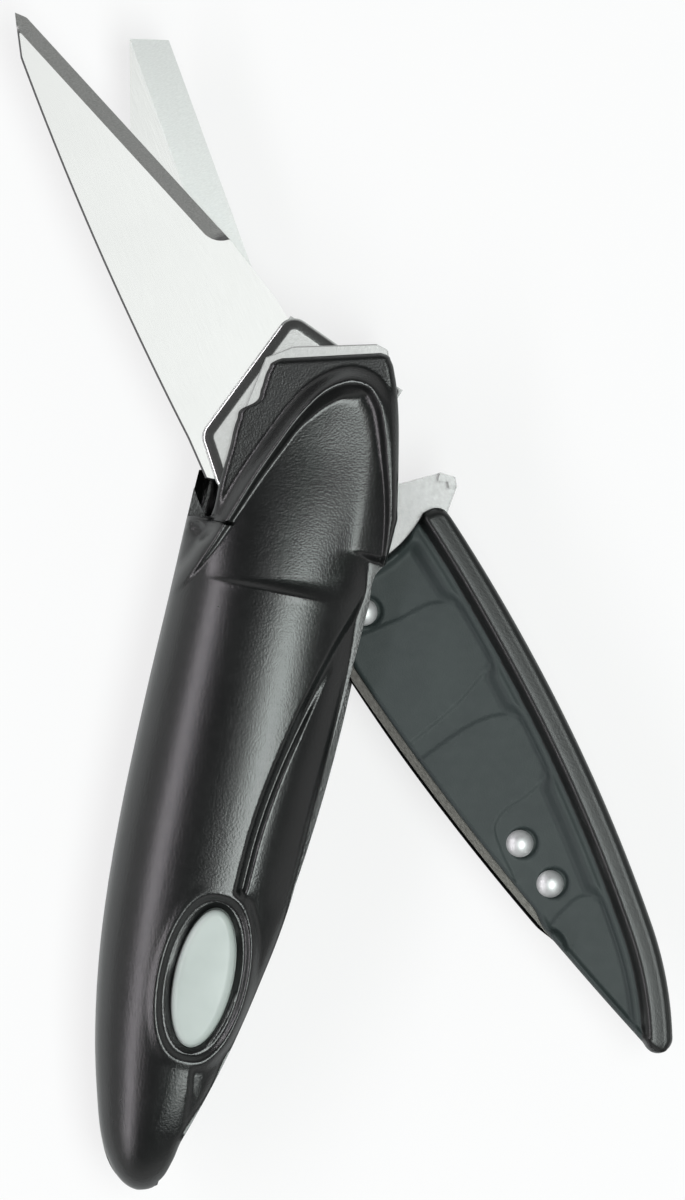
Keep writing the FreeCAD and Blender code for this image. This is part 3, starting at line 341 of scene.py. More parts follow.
def side_distance(points, x, y):
    """Distance to a smooth line, above 0 on its right when it is followed from its first point."""
    line = dense(points)
    best = np.full(x.shape, np.inf)
    side = np.ones(x.shape)
    for (ax, ay), (bx, by) in zip(line[:-1], line[1:]):
        dx, dy = bx - ax, by - ay
        t = np.clip(((x - ax) * dx + (y - ay) * dy) / (dx * dx + dy * dy), 0, 1)
        gap = np.hypot(x - ax - t * dx, y - ay - t * dy)
        near = gap < best
        best = np.where(near, gap, best)
        side = np.where(near, np.sign((x - ax) * dy - (y - ay) * dx), side)
    return best * side


def soft_max(a, b, width):
    return (a + b + np.sqrt((a - b) ** 2 + width * width)) / 2


def oval_distance(x, y, centre, across, along):
    """Distance outwards from an oval whose half axes lie along X and Y."""
    dx, dy = x - centre[0], y - centre[1]
    ratio = np.maximum(np.hypot(dx / across, dy / along), 0.001)
    return (ratio - 1) * ratio / np.maximum(np.hypot(dx / across ** 2, dy / along ** 2), 0.001)


def edge_drop(distance, radius):
    """How far a rounded edge of this radius falls at a distance inside the edge."""
    inside = np.clip(radius - distance, 0, radius)
    return radius - np.sqrt(radius * radius - inside * inside)


def arc_side(points, y, side):
    """X of an arc through three points at Y, on the left (-1) or the right (1) of its centre."""
    (ax, ay), (bx, by), (cx, cy) = points
    turn = 2 * (ax * (by - cy) + bx * (cy - ay) + cx * (ay - by))
    a, b, c = ax * ax + ay * ay, bx * bx + by * by, cx * cx + cy * cy
    x0 = (a * (by - cy) + b * (cy - ay) + c * (ay - by)) / turn
    y0 = (a * (cx - bx) + b * (ax - cx) + c * (bx - ax)) / turn
    radius = math.hypot(ax - x0, ay - y0)
    return x0 + side * np.sqrt(np.maximum(radius * radius - (y - y0) ** 2, 0))


def in_row(points, turn):
    """Points of a turned body as places in the row frame."""
    x, y, z = np.moveaxis(np.asarray(points, float), -1, 0)
    cos, sin = math.cos(turn), math.sin(turn)
    return np.stack([x * cos - y * sin, x * sin + y * cos, z], axis=-1) * MM + np.array(PIVOT)


def smooth_by_angle(mesh, degrees):
    """Smooth faces with hard edges where the surface turns by more than the angle."""
    angle = math.radians(degrees)
    work = bmesh.new()
    work.from_mesh(mesh)
    for face in work.faces:
        face.smooth = True
    for edge in work.edges:
        edge.smooth = edge.is_manifold and edge.calc_face_angle(0) < angle
    work.to_mesh(mesh)
    work.free()


def placed(name, mesh):
    made = bpy.data.objects.new(name, mesh)
    bpy.context.scene.collection.objects.link(made)
    return made


def slab(name, x, y, top, bottom, turn, second=None):
    """A closed solid between two height fields over one grid of rows and columns.

    Where the second grid says so, the faces have the second material.
    """
    rows, columns = x.shape
    fields = [np.stack(np.broadcast_arrays(x, y, z), axis=-1) for z in (top, bottom)]
    places = np.concatenate([in_row(field, turn).reshape(-1, 3) for field in fields])
    under = rows * columns
    faces = []
    for i in range(rows - 1):
        for j in range(columns - 1):
            a = i * columns + j
            b, c, d = a + 1, a + columns + 1, a + columns
            faces.append((a, b, c, d))
            faces.append((under + d, under + c, under + b, under + a))
    ring = list(range(columns))
    ring += [i * columns + columns - 1 for i in range(1, rows)]
    ring += [(rows - 1) * columns + j for j in range(columns - 2, -1, -1)]
    ring += [i * columns for i in range(rows - 2, 0, -1)]
    for a, b in zip(ring, ring[1:] + ring[:1]):
        faces.append((b, a, under + a, under + b))
    mesh = bpy.data.meshes.new(name)
    mesh.from_pydata(places.tolist(), [], faces)
    if second is not None:
        mask = np.tile(second.ravel(), 2)
        for face in mesh.polygons:
            face.material_index = int(mask[list(face.vertices)].all())
    work = bmesh.new()
    work.from_mesh(mesh)
    bmesh.ops.remove_doubles(work, verts=work.verts, dist=SAME_PLACE)
    bmesh.ops.dissolve_degenerate(work, edges=work.edges, dist=SAME_PLACE)
    bmesh.ops.recalc_face_normals(work, faces=work.faces)
    work.to_mesh(mesh)
    work.free()
    return placed(name, mesh)


def oval(centre, across, along, level, count=96):
    """Points round an oval. The level is a number or a function of the points' X and Y."""
    angles = np.linspace(0, 2 * math.pi, count, endpoint=False)
    x = centre[0] + across * np.cos(angles)
    y = centre[1] + along * np.sin(angles)
    z = level(x, y) if callable(level) else np.full(count, level)
    return np.stack([x, y, z], axis=1)


def stack(name, rings, turn):
    """A closed solid through rings of points, from the lowest to the highest."""
    count = len(rings[0])
    mesh = bpy.data.meshes.new(name)
    faces = []
    for low in range(0, count * (len(rings) - 1), count):
        faces += [(low + k, low + (k + 1) % count, low + count + (k + 1) % count, low + count + k)
                  for k in range(count)]
    last = count * (len(rings) - 1)
    faces += [tuple(reversed(range(count))), tuple(range(last, last + count))]
    mesh.from_pydata(in_row(np.concatenate(rings), turn).tolist(), [], faces)
    return placed(name, mesh)


def cut_away(piece, cutter):
    """The piece with the cutter's volume taken out for good."""
    cutting = piece.modifiers.new("cut", "BOOLEAN")
    cutting.operation = "DIFFERENCE"
    cutting.solver = "EXACT"
    cutting.object = cutter
    bpy.context.view_layer.update()
    mesh = bpy.data.meshes.new_from_object(piece.evaluated_get(bpy.context.evaluated_depsgraph_get()))
    piece.modifiers.clear()
    old, piece.data = piece.data, mesh
    mesh.name = piece.name
    bpy.data.meshes.remove(old)
    bpy.data.objects.remove(cutter)


def dress(piece, finish, body, stands_for):
    """Give a new piece its finish and put it in the place of a node."""
    if not piece.data.materials:
        piece.data.materials.append(finish)
    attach(piece, body)
    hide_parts(stands_for)


# Handle front cover: stations (Y, middle, half width, half depth), edges as (Y, X) and lines as (X, Y)

BUTT = -110.4
TOP = 14.7
STATIONS = [
    (-110.4, -1.6, 0.0, 0.0), (-110.0, -1.62, 1.7, 1.3), (-108.0, -1.7, 4.1, 3.3), (-104.4, -1.35, 6.75, 5.1),
    (-98.0, -0.75, 9.55, 6.9), (-88.0, -0.6, 12.2, 8.5), (-74.0, -0.55, 14.35, 10.0),
    (-58.0, -0.45, 15.45, 10.75), (-40.0, -0.45, 15.65, 10.95), (-22.0, -0.75, 15.15, 10.4),
    (-12.0, -0.75, 15.1, 9.6), (0.0, -0.4, 15.2, 8.7), (17.0, -0.4, 15.0, 7.8),
]
RIGHT_EDGE = [
    (-110.4, -1.5), (-110.0, -0.3), (-108.3, 1.3), (-105.0, 2.6), (-101.9, 3.2), (-98.7, 4.2), (-95.5, 5.15),
    (-89.1, 6.9), (-82.8, 8.3), (-76.5, 9.46), (-70.3, 10.5), (-64.1, 11.2), (-52.6, 11.5), (-41.2, 12.0),
    (-29.9, 12.5), (-20.0, 12.9), (-14.6, 13.1), (-12.8, 14.3), (-10.0, 14.7), (-5.15, 13.87), (-0.66, 12.8),
    (8.0, 10.47), (11.3, 9.3), (13.4, 8.3), (14.4, 7.4), (14.7, 6.6),
]
COLLAR_LEFT = [
    (-12.0, -12.35), (-11.0, -12.22), (-7.1, -12.18), (-4.05, -12.08), (-0.75, -11.88), (4.76, -11.7),
    (6.7, -11.3), (7.6, -9.9), (10.1, -9.25), (13.2, -8.85), (14.3, -8.3), (14.7, -7.3),
]
ARCH = [
    (-18.5, -26.5), (-15.4, -23.5), (-12.9, -19.4), (-11.4, -16.0), (-9.5, -10.9), (-7.4, -5.1), (-5.1, 0.4),
    (-3.0, 5.0), (-1.0, 8.3), (1.3, 10.5), (3.7, 11.6), (6.2, 11.2), (8.1, 9.2), (9.6, 5.9), (11.0, 1.5),
    (12.5, -3.75), (13.6, -9.1), (14.0, -12.9), (14.1, -20.0), (14.2, -26.0),
]
APEX = 10
GROOVE = [
    (13.4, -14.5), (11.9, -19.5), (9.8, -25.4), (7.9, -32.0), (6.15, -39.5), (4.6, -47.6), (3.65, -55.7),
    (3.43, -60.8), (3.33, -66.0),
]
TAIL_GROOVE = [(2.3, -88.0), (2.45, -91.0), (2.95, -95.2), (3.3, -99.0), (3.5, -102.0)]


def station(column, y):
    """A station value at y, smooth, and rounded towards the butt."""
    places = np.sqrt(np.array([s[0] for s in STATIONS]) - BUTT)
    return hermite(places, [s[column] for s in STATIONS], np.sqrt(np.maximum(y - BUTT, 0)))


def pod_height(x, y, inset=0.0):
    """The plain swelling front of the handle."""
    share = (x - station(1, y)) / np.maximum(station(2, y) - inset, 0.01)
    return np.maximum(station(3, y) - inset, 0.0) * np.sqrt(np.maximum(1 - share * share, 0))


# The thumb dish: deeper towards the blades, with a short left wall, a wide right wall and a crease at its foot

DISH_ROWS = (-20.0, 8.0)
DISH_DEPTHS = (0.7, 2.7)
DISH_MIDDLE = 1.5
DISH_BOW = 0.006
LEFT_WALL_ROWS = (2.0, 10.0)
LEFT_WALL = (1.2, 2.8)
RIGHT_WALL = 3.4
RIGHT_WALL_DEPTH = 2.2
MEETING_ROWS = (-4.0, 6.0)
MEETING = (0.3, 0.8)
CREASE = -20.6
CREASE_TILT = 0.02
CREASE_WIDTH = 2.1
CREASE_OPENING = 0.16
CREASE_LIMITS = (0.9, 3.4)
CREASE_RIGHT_REACH = (5.0, 11.0)
CREASE_RIGHT_WIDTH = 4.0
DISH_END_REACH = (7.0, 12.5)
DISH_END_ROWS = (-20.0, -14.0)
DISH_LIP = 0.1
DISH_LIP_PLACE = -0.3
DISH_LIP_WIDTH = 0.4
DISH_LIP_END = (2.0, 7.0)
DISH_LIP_START = (0.0, 3.0)


def dish_depth(x, y):
    left = np.maximum(side_distance(ARCH[:APEX + 1], x, y), 0)
    right = np.clip(side_distance(ARCH[APEX:], x, y) / RIGHT_WALL, 0, 1)
    run = np.clip((y - DISH_ROWS[0]) / (DISH_ROWS[1] - DISH_ROWS[0]), 0, 1)
    middle = DISH_DEPTHS[0] + (DISH_DEPTHS[1] - DISH_DEPTHS[0]) * run ** 2
    middle = middle * np.maximum(1 - DISH_BOW * (x - DISH_MIDDLE) ** 2, 0)
    left_wall = middle * ease(0.0, blend(LEFT_WALL_ROWS, LEFT_WALL, y), left)
    right_wall = RIGHT_WALL_DEPTH * right * (2 - right)
    depth = -soft_max(-left_wall, -right_wall, blend(MEETING_ROWS, MEETING, y))
    above = y - CREASE - CREASE_TILT * x
    width = np.clip(CREASE_WIDTH + CREASE_OPENING * x, *CREASE_LIMITS)
    width = width + CREASE_RIGHT_WIDTH * ease(*CREASE_RIGHT_REACH, x)
    rise = np.clip(above / width, 0, 1)
    right_fade = 1 - ease(*DISH_END_REACH, x) * (1 - ease(*DISH_END_ROWS, y))
    lip = DISH_LIP * ridge_at(above, DISH_LIP_PLACE, DISH_LIP_WIDTH)
    lip = lip * (1 - ease(*DISH_LIP_END, x)) * ease(*DISH_LIP_START, left)
    return np.maximum(depth, 0) * rise * (2 - rise) * right_fade - lip


# The front's relief: arch, collar, grooves, wing and the ring round the button

COLLAR_LEVEL = 6.7
COLLAR_SLOPE = (0.04, -0.03)
COLLAR_ROWS = (-16.0, -12.0)
COLLAR_REACH = (4.0, 9.0)
COLLAR_SOFT = 0.6
BEAD = 0.75
BEAD_ROWS = (-27.0, -16.0)
BEAD_OUTSIDE = (-2.6, 0.0)
BEAD_INSIDE = (0.1, 0.9)
DISH_EDGE = (0.0, 0.4)
FLANK_FALL = 0.18
FLANK_REACH = (0.0, 2.2)
FACE_REACH = (0.0, 2.4)
FACE_ROWS = (-17.0, -11.0)
STEP_ROWS = (-12.8, -11.2)
GROOVE_END = (-68.0, -63.0)
GROOVE_START = (-20.5, -15.0)
GROOVE_SHOULDER = (-0.65, 0.5)
GROOVE_FAR = (0.6, 1.5)
GROOVE_DEPTHS = (0.55, 1.5)
GROOVE_DEPTH_RUN = (22.0, 45.0)
WING_DEPTHS = (0.75, 1.25)
WING_REACH = (2.0, 8.0)
LOW_WING = 0.9
LOW_WING_REACH = (4.0, 6.5)
LOW_WING_END = (-96.0, -86.0)
TAIL_STEP = 0.4
TAIL_SHOULDER = (-0.5, 0.6)
TAIL_START = (-88.5, -86.0)
TAIL_END = (-106.0, -96.0)
BUTTON_MIDDLE = (1.25, -77.6)
BUTTON_HALF = (4.2, 10.2)
RING_RISE = 0.12
RING_FALL = 0.28
RING_FALL_REACH = (2.0, 6.0)
RING_SIDE = (2.3, 3.6)
RING_INNER = 1.25
MOAT = 1.1
DIMPLE = 0.7
DIMPLE_MIDDLE = (-14.2, -13.7)
DIMPLE_HALF = (1.3, 0.75)
DIMPLE_SIDE = (0.3, 1.1)


def cover_height(x, y):
    pod = pod_height(x, y)
    collar = (COLLAR_LEVEL + COLLAR_SLOPE[0] * x + COLLAR_SLOPE[1] * y) * ease(*COLLAR_ROWS, y)
    pod = pod + (soft_max(pod, collar, COLLAR_SOFT) - pod) * ease(*COLLAR_REACH, x)
    inside = side_distance(ARCH, x, y)
    bead = BEAD * ease(*BEAD_OUTSIDE, inside) * (1 - ease(*BEAD_INSIDE, inside)) * ease(*BEAD_ROWS, y)
    height = pod + bead - dish_depth(x, y) * ease(*DISH_EDGE, inside)
    # outside the arch the collar and the flank lie lower
    flank = pod * (1 - FLANK_FALL * ease(*FLANK_REACH, -inside))
    level = flank + (collar - flank) * ease(*FACE_ROWS, y)
    lower = np.minimum(flank, level)
    face = lower + (level - lower) * ease(*STEP_ROWS, y)
    height += (face + bead - height) * ease(*FACE_REACH, -inside)
    # long groove with the wing on its right
    groove = -side_distance(GROOVE, x, y)
    run = ease(*GROOVE_END, y) * (1 - ease(*GROOVE_START, y))
    wing = blend(WING_REACH, WING_DEPTHS, groove)
    deep = np.maximum(wing, blend(GROOVE_DEPTH_RUN, GROOVE_DEPTHS, -y))
    height -= run * ease(*GROOVE_SHOULDER, groove) * (deep + (wing - deep) * ease(*GROOVE_FAR, groove))
    # wing beside the button, and the groove below it
    height -= LOW_WING * ease(*LOW_WING_REACH, x) * (1 - ease(*GROOVE_END, y)) * ease(*LOW_WING_END, y)
    tail = -side_distance(TAIL_GROOVE, x, y)
    height -= (1 - ease(*TAIL_START, y)) * ease(*TAIL_END, y) * TAIL_STEP * ease(*TAIL_SHOULDER, tail)
    # raised ring round the button with a sloping inner wall
    ring = oval_distance(x, y, BUTTON_MIDDLE, *BUTTON_HALF)
    ring_top = pod + RING_RISE - RING_FALL * ease(*RING_FALL_REACH, x - BUTTON_MIDDLE[0])
    height += (np.maximum(height, ring_top) - height) * (1 - ease(*RING_SIDE, ring))
    height -= 1 - ease(MOAT, MOAT + RING_INNER, ring)
    # dimple below the slot
    apart = np.hypot((x - DIMPLE_MIDDLE[0]) / DIMPLE_HALF[0], (y - DIMPLE_MIDDLE[1]) / DIMPLE_HALF[1])
    return height - DIMPLE * (1 - ease(*DIMPLE_SIDE, apart))


BUTTON_GAP = 0.15
MOAT_FOOT = 0.05
MOAT_DEPTH = 2.6
MOAT_LOWEST = 6.9
MOAT_RISE = 0.2
MOAT_WALL = 0.35
MOAT_WALL_REACH = (2.0, 3.0)
ABOVE = 15.0
LIP_LEVEL = 4.85
LINER_LEVEL = 5.03
WALL = 2.4
THIN_WALL = 0.6
THIN_WALL_SOFT = 0.3
SOLID_BUTT = -101.5
SLOT_FOOT = -12.4
SLOT_STEP = (SLOT_FOOT - 0.4, SLOT_FOOT + 0.5)
COLLAR_TILT = 0.28
COLLAR_TILT_START = -10.0
SEAM_SHARE = 0.98
RIGHT_ROUND = 1.1
RIGHT_ROUND_ROWS = (BUTT, -100.0)
TOP_ROUND = 0.9
COLLAR_ROUND = 1.0


def moat_floor(x, y):
    return np.maximum(pod_height(x, y) - MOAT_DEPTH, MOAT_LOWEST)


def make_front_cover():
    butt_rows = BUTT + np.linspace(0.1, 4.0, 30) ** 2
    slot_rows = np.linspace(SLOT_FOOT - 0.7, SLOT_FOOT + 0.8, 12)
    long_rows = np.linspace(butt_rows[-1], TOP, 400)[1:]
    rows = np.sort(np.concatenate([butt_rows, slot_rows, long_rows]))[:, None]
    share = np.linspace(0, 1, 171)
    # columns lie closer at both sides
    share = (0.5 * share + 0.25 * (1 - np.cos(np.pi * share)))[None, :]
    middle, half = station(1, rows), np.maximum(station(2, rows), 0.05)
    collar = ease(*SLOT_STEP, rows)
    left = (middle - half) * (1 - collar) + hermite(*zip(*COLLAR_LEFT), rows) * collar
    right = np.minimum(hermite(*zip(*RIGHT_EDGE), rows), middle + half * SEAM_SHARE)
    start = np.arccos(np.clip((middle - left) / half, -1, 1))
    end = np.arccos(np.clip((middle - right) / half, -1, 1))
    x = middle - half * np.cos(start + (end - start) * share)
    y = rows + COLLAR_TILT * ease(COLLAR_TILT_START, TOP, rows) * x
    height = cover_height(x, y)
    height -= edge_drop(right - x, RIGHT_ROUND) * ease(*RIGHT_ROUND_ROWS, rows)
    height -= edge_drop(TOP - rows, TOP_ROUND) + collar * edge_drop(x - left, COLLAR_ROUND)
    lip = np.where(x > middle, LIP_LEVEL, 0.0)
    under = np.where(rows < SOLID_BUTT, 0.0, np.maximum(pod_height(x, y, WALL), lip))
    under = np.where(rows > SLOT_FOOT, LINER_LEVEL, under)
    ring = oval_distance(x, y, BUTTON_MIDDLE, *BUTTON_HALF)
    below_moat = np.minimum(under, moat_floor(x, y) - MOAT_WALL)
    under += (below_moat - under) * (1 - ease(*MOAT_WALL_REACH, ring))
    lowest = np.where(rows > SLOT_FOOT, LINER_LEVEL, np.where(rows < SOLID_BUTT, 0.0, lip))
    least = soft_max(height, lowest + THIN_WALL, THIN_WALL_SOFT)
    height = np.where(lowest > 0, least, np.maximum(height, 0.0))
    under = np.clip(height - THIN_WALL, lowest, np.maximum(under, lowest))
    piece = slab("front_cover", x, y, height, under, HANDLE_TURN)
    hole = ((BUTTON_GAP, 0.0), (BUTTON_GAP, ABOVE))
    moat = (
        (MOAT_FOOT, lambda x, y: moat_floor(x, y) - MOAT_RISE),
        (MOAT, lambda x, y: moat_floor(x, y) + MOAT_RISE),
        (MOAT, ABOVE),
    )
    across, along = BUTTON_HALF
    for name, outline in (("moat", moat), ("button_hole", hole)):
        rings = [oval(BUTTON_MIDDLE, across + gap, along + gap, level) for gap, level in outline]
        cut_away(piece, stack(name, rings, HANDLE_TURN))
    smooth_by_angle(piece.data, 60)
    return piece


# Inner wall of the rear cover, seen behind the slot

FLANK_ROWS = (-14.0, -3.6)
FLANK_RIGHT = -10.6
FLANK_SHARE = 0.999
FLANK_TILT = 0.42
SLOT_DEPTH = 3.7
SLOT_SLANT = 0.8
SLOT_SLANT_SHARES = (0.4, 1.0)
FLANK_WALL = 0.5


def make_slot_flank():
    rows = np.linspace(*FLANK_ROWS, 24)[:, None]
    share = np.linspace(0, 1, 16)[None, :]
    left = station(1, rows) - station(2, rows) * FLANK_SHARE
    x = left + (FLANK_RIGHT - left) * share
    y = rows + FLANK_TILT * (x - FLANK_RIGHT) * ease(*FLANK_ROWS, rows)
    outer = -pod_height(x, y)
    inner = np.maximum(-SLOT_DEPTH - SLOT_SLANT * ease(*SLOT_SLANT_SHARES, share), outer + FLANK_WALL)
    piece = slab("slot_flank", x, y, inner, outer, HANDLE_TURN)
    smooth_by_angle(piece.data, 50)
    return piece


slot_flank = make_slot_flank()
slot_flank.data.materials.append(black_cover)
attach(slot_flank, "handle")

dress(make_front_cover(), black_cover, "handle", "handle_front_cover")


# Lock button: peg, foot and a crown with soft edges

PEG_MIDDLE = (1.5, -79.9)
PEG_RADIUS = 1.2
PEG_FOOT = 3.4
FOOT_LEVELS = (5.85, 6.5)
FOOT_WIDTH = 0.8
CROWN_ROUND = 1.1
CROWN_SUNK = 0.25
CROWN_FOLLOW = 0.45  # how far the crown follows the handle's roundness across


def crown_level(inset):
    """The top of the button at a distance inside its side."""
    def level(x, y):
        spine = pod_height(BUTTON_MIDDLE[0] + 0 * x, y)
        flat = pod_height(x, y) * CROWN_FOLLOW + spine * (1 - CROWN_FOLLOW)
        return flat - CROWN_SUNK - edge_drop(np.full(x.shape, inset), CROWN_ROUND)
    return level


def make_button():
    across, along = BUTTON_HALF
    foot = (across + FOOT_WIDTH, along + FOOT_WIDTH)
    rings = [oval(PEG_MIDDLE, PEG_RADIUS, PEG_RADIUS, level) for level in (PEG_FOOT, FOOT_LEVELS[0])]
    rings += [oval(BUTTON_MIDDLE, *foot, level) for level in FOOT_LEVELS]
    rings.append(oval(BUTTON_MIDDLE, across, along, FOOT_LEVELS[1]))
    insets = CROWN_ROUND * (1 - np.cos(np.linspace(0, math.pi / 2, 9)))
    insets = np.concatenate([insets, np.linspace(CROWN_ROUND, across - 0.05, 14)[1:]])
    rings += [oval(BUTTON_MIDDLE, across - inset, along - inset, crown_level(inset)) for inset in insets]
    piece = stack("button", rings, HANDLE_TURN)
    smooth_by_angle(piece.data, 50)
    return piece


dress(make_button(), grey_button, "button", "lock_button")


# Lever mouldings: edges as arcs through three points, rims as (distance from the edge, height)

SHELL_RADIUS = 18.3
TOP_CORNER = 2.2
LEVER_RIGHT = [((13.1, -12.7), (15.2, -45.0), (12.5, -83.5)), ((12.5, -83.5), (11.0, -90.6), (7.6, -99.6))]
LEVER_LEFT = ((-9.65, -32.0), (-4.28, -65.25), (3.45, -98.5))
LEVER_SHOULDER = ((-9.65, -32.0), (-8.8, -12.7))
LEVER_TIP = ((7.6, -99.6), (5.0, -100.8), (3.45, -98.5))
LEVER_LOWEST = -100.85
ROUND_END_REACH = 10.5
ROUND_END_START = -48.0
STEEPEST_EDGE = 1.5
LEAST_WIDTH = 0.02
ARM_LEFT = ((-9.98, -32.1), (-4.66, -65.2), (-1.5, -79.3))
ARM_END = -79.3
ARM_TOP = -20.0
ARM_LEVELS = (-1.1, 0.1)
STRIP_SHOWN = 0.8
STRIP_ENDS = (-77.5, -73.5)
LEVER_FLOOR = 1.5
LEVER_WALL = 0.3
RIM = [
    (0.0, 2.6), (0.1, 3.2), (0.3, 3.6), (0.7, 3.85), (1.4, 4.02), (2.1, 4.18), (2.6, 4.28), (3.0, 4.32),
    (3.4, 4.2), (3.9, 3.65), (4.3, 2.98), (4.7, 2.62), (5.1, 2.62), (5.5, 2.76), (5.9, 2.78), (6.4, 2.58),
    (6.9, 2.16), (7.4, 1.72), (7.9, 1.5),
]
GLOSSY_RIM = 4.6
PANELS = [
    ([(-12.0, -26.0), (-6.7, -26.5), (0.5, -27.1), (6.0, -27.4), (9.2, -29.4), (10.5, -34.0)],
     [(10.5, -36.0), (8.9, -39.2), (6.5, -40.3), (2.55, -41.9), (-5.1, -43.7), (-12.0, -45.0)]),
    ([(-12.0, -48.0), (-4.7, -46.5), (1.7, -45.7), (6.0, -46.0), (8.7, -47.2), (10.5, -51.0)],
     [(10.5, -54.5), (8.5, -57.3), (4.8, -58.6), (0.6, -59.2), (-1.2, -60.4), (-2.0, -63.5), (-2.2, -67.0)]),
    ([(-3.0, -78.0), (1.7, -75.9), (5.4, -75.3), (7.3, -76.6), (8.2, -80.0), (8.5, -84.0)],
     [(9.0, -99.0), (6.0, -101.5), (2.0, -102.0)]),
]
PANEL_RISE = 0.2
PANEL_STEP = (-0.13, 0.13)
PANEL_FROM_RIM = 5.8
RIDGE_GAP = (-1.8, 0.8)
RIDGE_REACH = (5.0, 6.3)
RIVETS = [(-3.85, -23.9), (0.8, -64.4), (2.05, -71.6)]
SEAT_SHIFT = (0.5, -0.1)
SEAT_DEPTH = 0.55
SEAT_SIDE = (1.9, 2.45)
LOW_EDGE = 0.5
LOW_EDGE_ROWS = (-78.0, -74.0)
LOW_EDGE_MIDDLE = 0.55
LOW_EDGE_WIDTH = 0.4
CATCH = (-1.0, -79.6)
CATCH_HALF = (0.9, 1.7)
CATCH_HEIGHT = 1.3
CATCH_SIDE = (-0.3, 0.5)
END_RIDGE = 0.9
END_RIDGE_MIDDLE = 0.9
END_RIDGE_WIDTH = 0.6
END_RIDGE_REACH = (5.5, 7.5)
SIDE_ROUND = 0.45
END_ROUND = (1.4, 0.6)
END_ROUND_REACH = (3.0, 5.0)


def lever_left(y):
    (lower_x, lower_y), (upper_x, upper_y) = LEVER_SHOULDER
    straight = lower_x + (upper_x - lower_x) * (y - lower_y) / (upper_y - lower_y)
    curved = np.where(y > LEVER_LEFT[2][1], arc_side(LEVER_LEFT, y, -1), arc_side(LEVER_TIP, y, -1))
    return np.where(y > lower_y, straight, curved)


def lever_right(y):
    upper, lower = LEVER_RIGHT
    outer = np.where(y > upper[2][1], arc_side(upper, y, 1), arc_side(lower, y, 1))
    return np.where(y > LEVER_TIP[0][1], outer, arc_side(LEVER_TIP, y, 1))


def lever_rows(step):
    """Places along the lever, close together at the round tip."""
    tip = LEVER_LOWEST + np.linspace(0.05, 1.6, 16) ** 2
    return np.concatenate([tip, np.arange(tip[-1] + step, -SHELL_RADIUS, step), [-SHELL_RADIUS]])[:, None]


def lever_grid(left, right, rows, columns):
    """X and Y of the grid: closer columns on the rim, and rows that turn into the round top end."""
    share = np.linspace(0, 1, columns)[None, :] ** 0.8
    x = left + (right - left) * share
    round_end = SHELL_RADIUS - np.sqrt(SHELL_RADIUS ** 2 - np.minimum(np.abs(x), ROUND_END_REACH) ** 2)
    round_end = round_end - edge_drop(right - x, TOP_CORNER)
    return x, rows + round_end * ease(ROUND_END_START, -SHELL_RADIUS, rows)


def rim_distance(x, rows, right):
    lean = np.gradient(right[:, 0], rows[:, 0])[:, None]
    return (right - x) / np.sqrt(1 + np.minimum(lean * lean, STEEPEST_EDGE))


def make_lever_front():
    rows = lever_rows(0.26)
    strip = STRIP_SHOWN * ease(*STRIP_ENDS, rows)
    right = lever_right(rows)
    left = np.minimum(lever_left(rows) + strip, right - LEAST_WIDTH)
    x, y = lever_grid(left, right, rows, 136)
    rim = rim_distance(x, rows, right)
    panel, gap = np.zeros(x.shape), np.zeros(x.shape)
    for upper, lower in PANELS:
        inside = np.minimum(side_distance(upper, x, y), side_distance(lower, x, y))
        panel = np.maximum(panel, ease(*PANEL_STEP, np.minimum(inside, rim - PANEL_FROM_RIM)))
        gap = np.maximum(gap, ease(*RIDGE_GAP, inside))
    ridge = np.maximum(hermite(*zip(*RIM), rim) - LEVER_FLOOR, 0)
    ridge *= 1 - gap * ease(*RIDGE_REACH, rim)
    height = LEVER_FLOOR + ridge + PANEL_RISE * panel
    for rivet_x, rivet_y in RIVETS:
        apart = np.hypot(x - rivet_x - SEAT_SHIFT[0], y - rivet_y - SEAT_SHIFT[1])
        height -= SEAT_DEPTH * (1 - ease(*SEAT_SIDE, apart))
    edge = x - left
    low_edge = 1 - ease(*LOW_EDGE_ROWS, rows)
    height += LOW_EDGE * low_edge * ridge_at(edge, LOW_EDGE_MIDDLE, LOW_EDGE_WIDTH)
    height += CATCH_HEIGHT * (1 - ease(*CATCH_SIDE, oval_distance(x, y, CATCH, *CATCH_HALF)))
    top_end = -SHELL_RADIUS - rows
    height += END_RIDGE * ridge_at(top_end, END_RIDGE_MIDDLE, END_RIDGE_WIDTH) * ease(*END_RIDGE_REACH, rim)
    height -= edge_drop(edge, SIDE_ROUND) + edge_drop(top_end, blend(END_ROUND_REACH, END_ROUND, rim))
    height = np.maximum(height, ARM_LEVELS[1] + LEVER_WALL)
    # the rim is smooth and glossy, the floor is grained
    piece = slab("lever_front", x, y, height, ARM_LEVELS[1], LEVER_TURN, rim < GLOSSY_RIM)
    smooth_by_angle(piece.data, 60)
    piece.data.materials.append(black_lever)
    piece.data.materials.append(black_rim)
    return piece


REAR_RIM = [
    (0.0, 1.7), (0.3, 2.5), (1.0, 3.4), (2.2, 4.2), (3.2, 4.45), (4.2, 4.3), (5.4, 3.4), (6.6, 2.6), (7.4, 2.5),
]
REAR_LIP = 0.42
REAR_LIP_START = (-80.0, -76.0)
REAR_LIP_END = (-30.0, -22.0)
REAR_SIDE_ROUND = 0.8
REAR_END_ROUND = 0.5
POCKET_SIDE = (-0.12, 0.12)
POCKET_FOOT = (-79.6, -79.3)
POCKET_REACH = (4.0, 6.0)


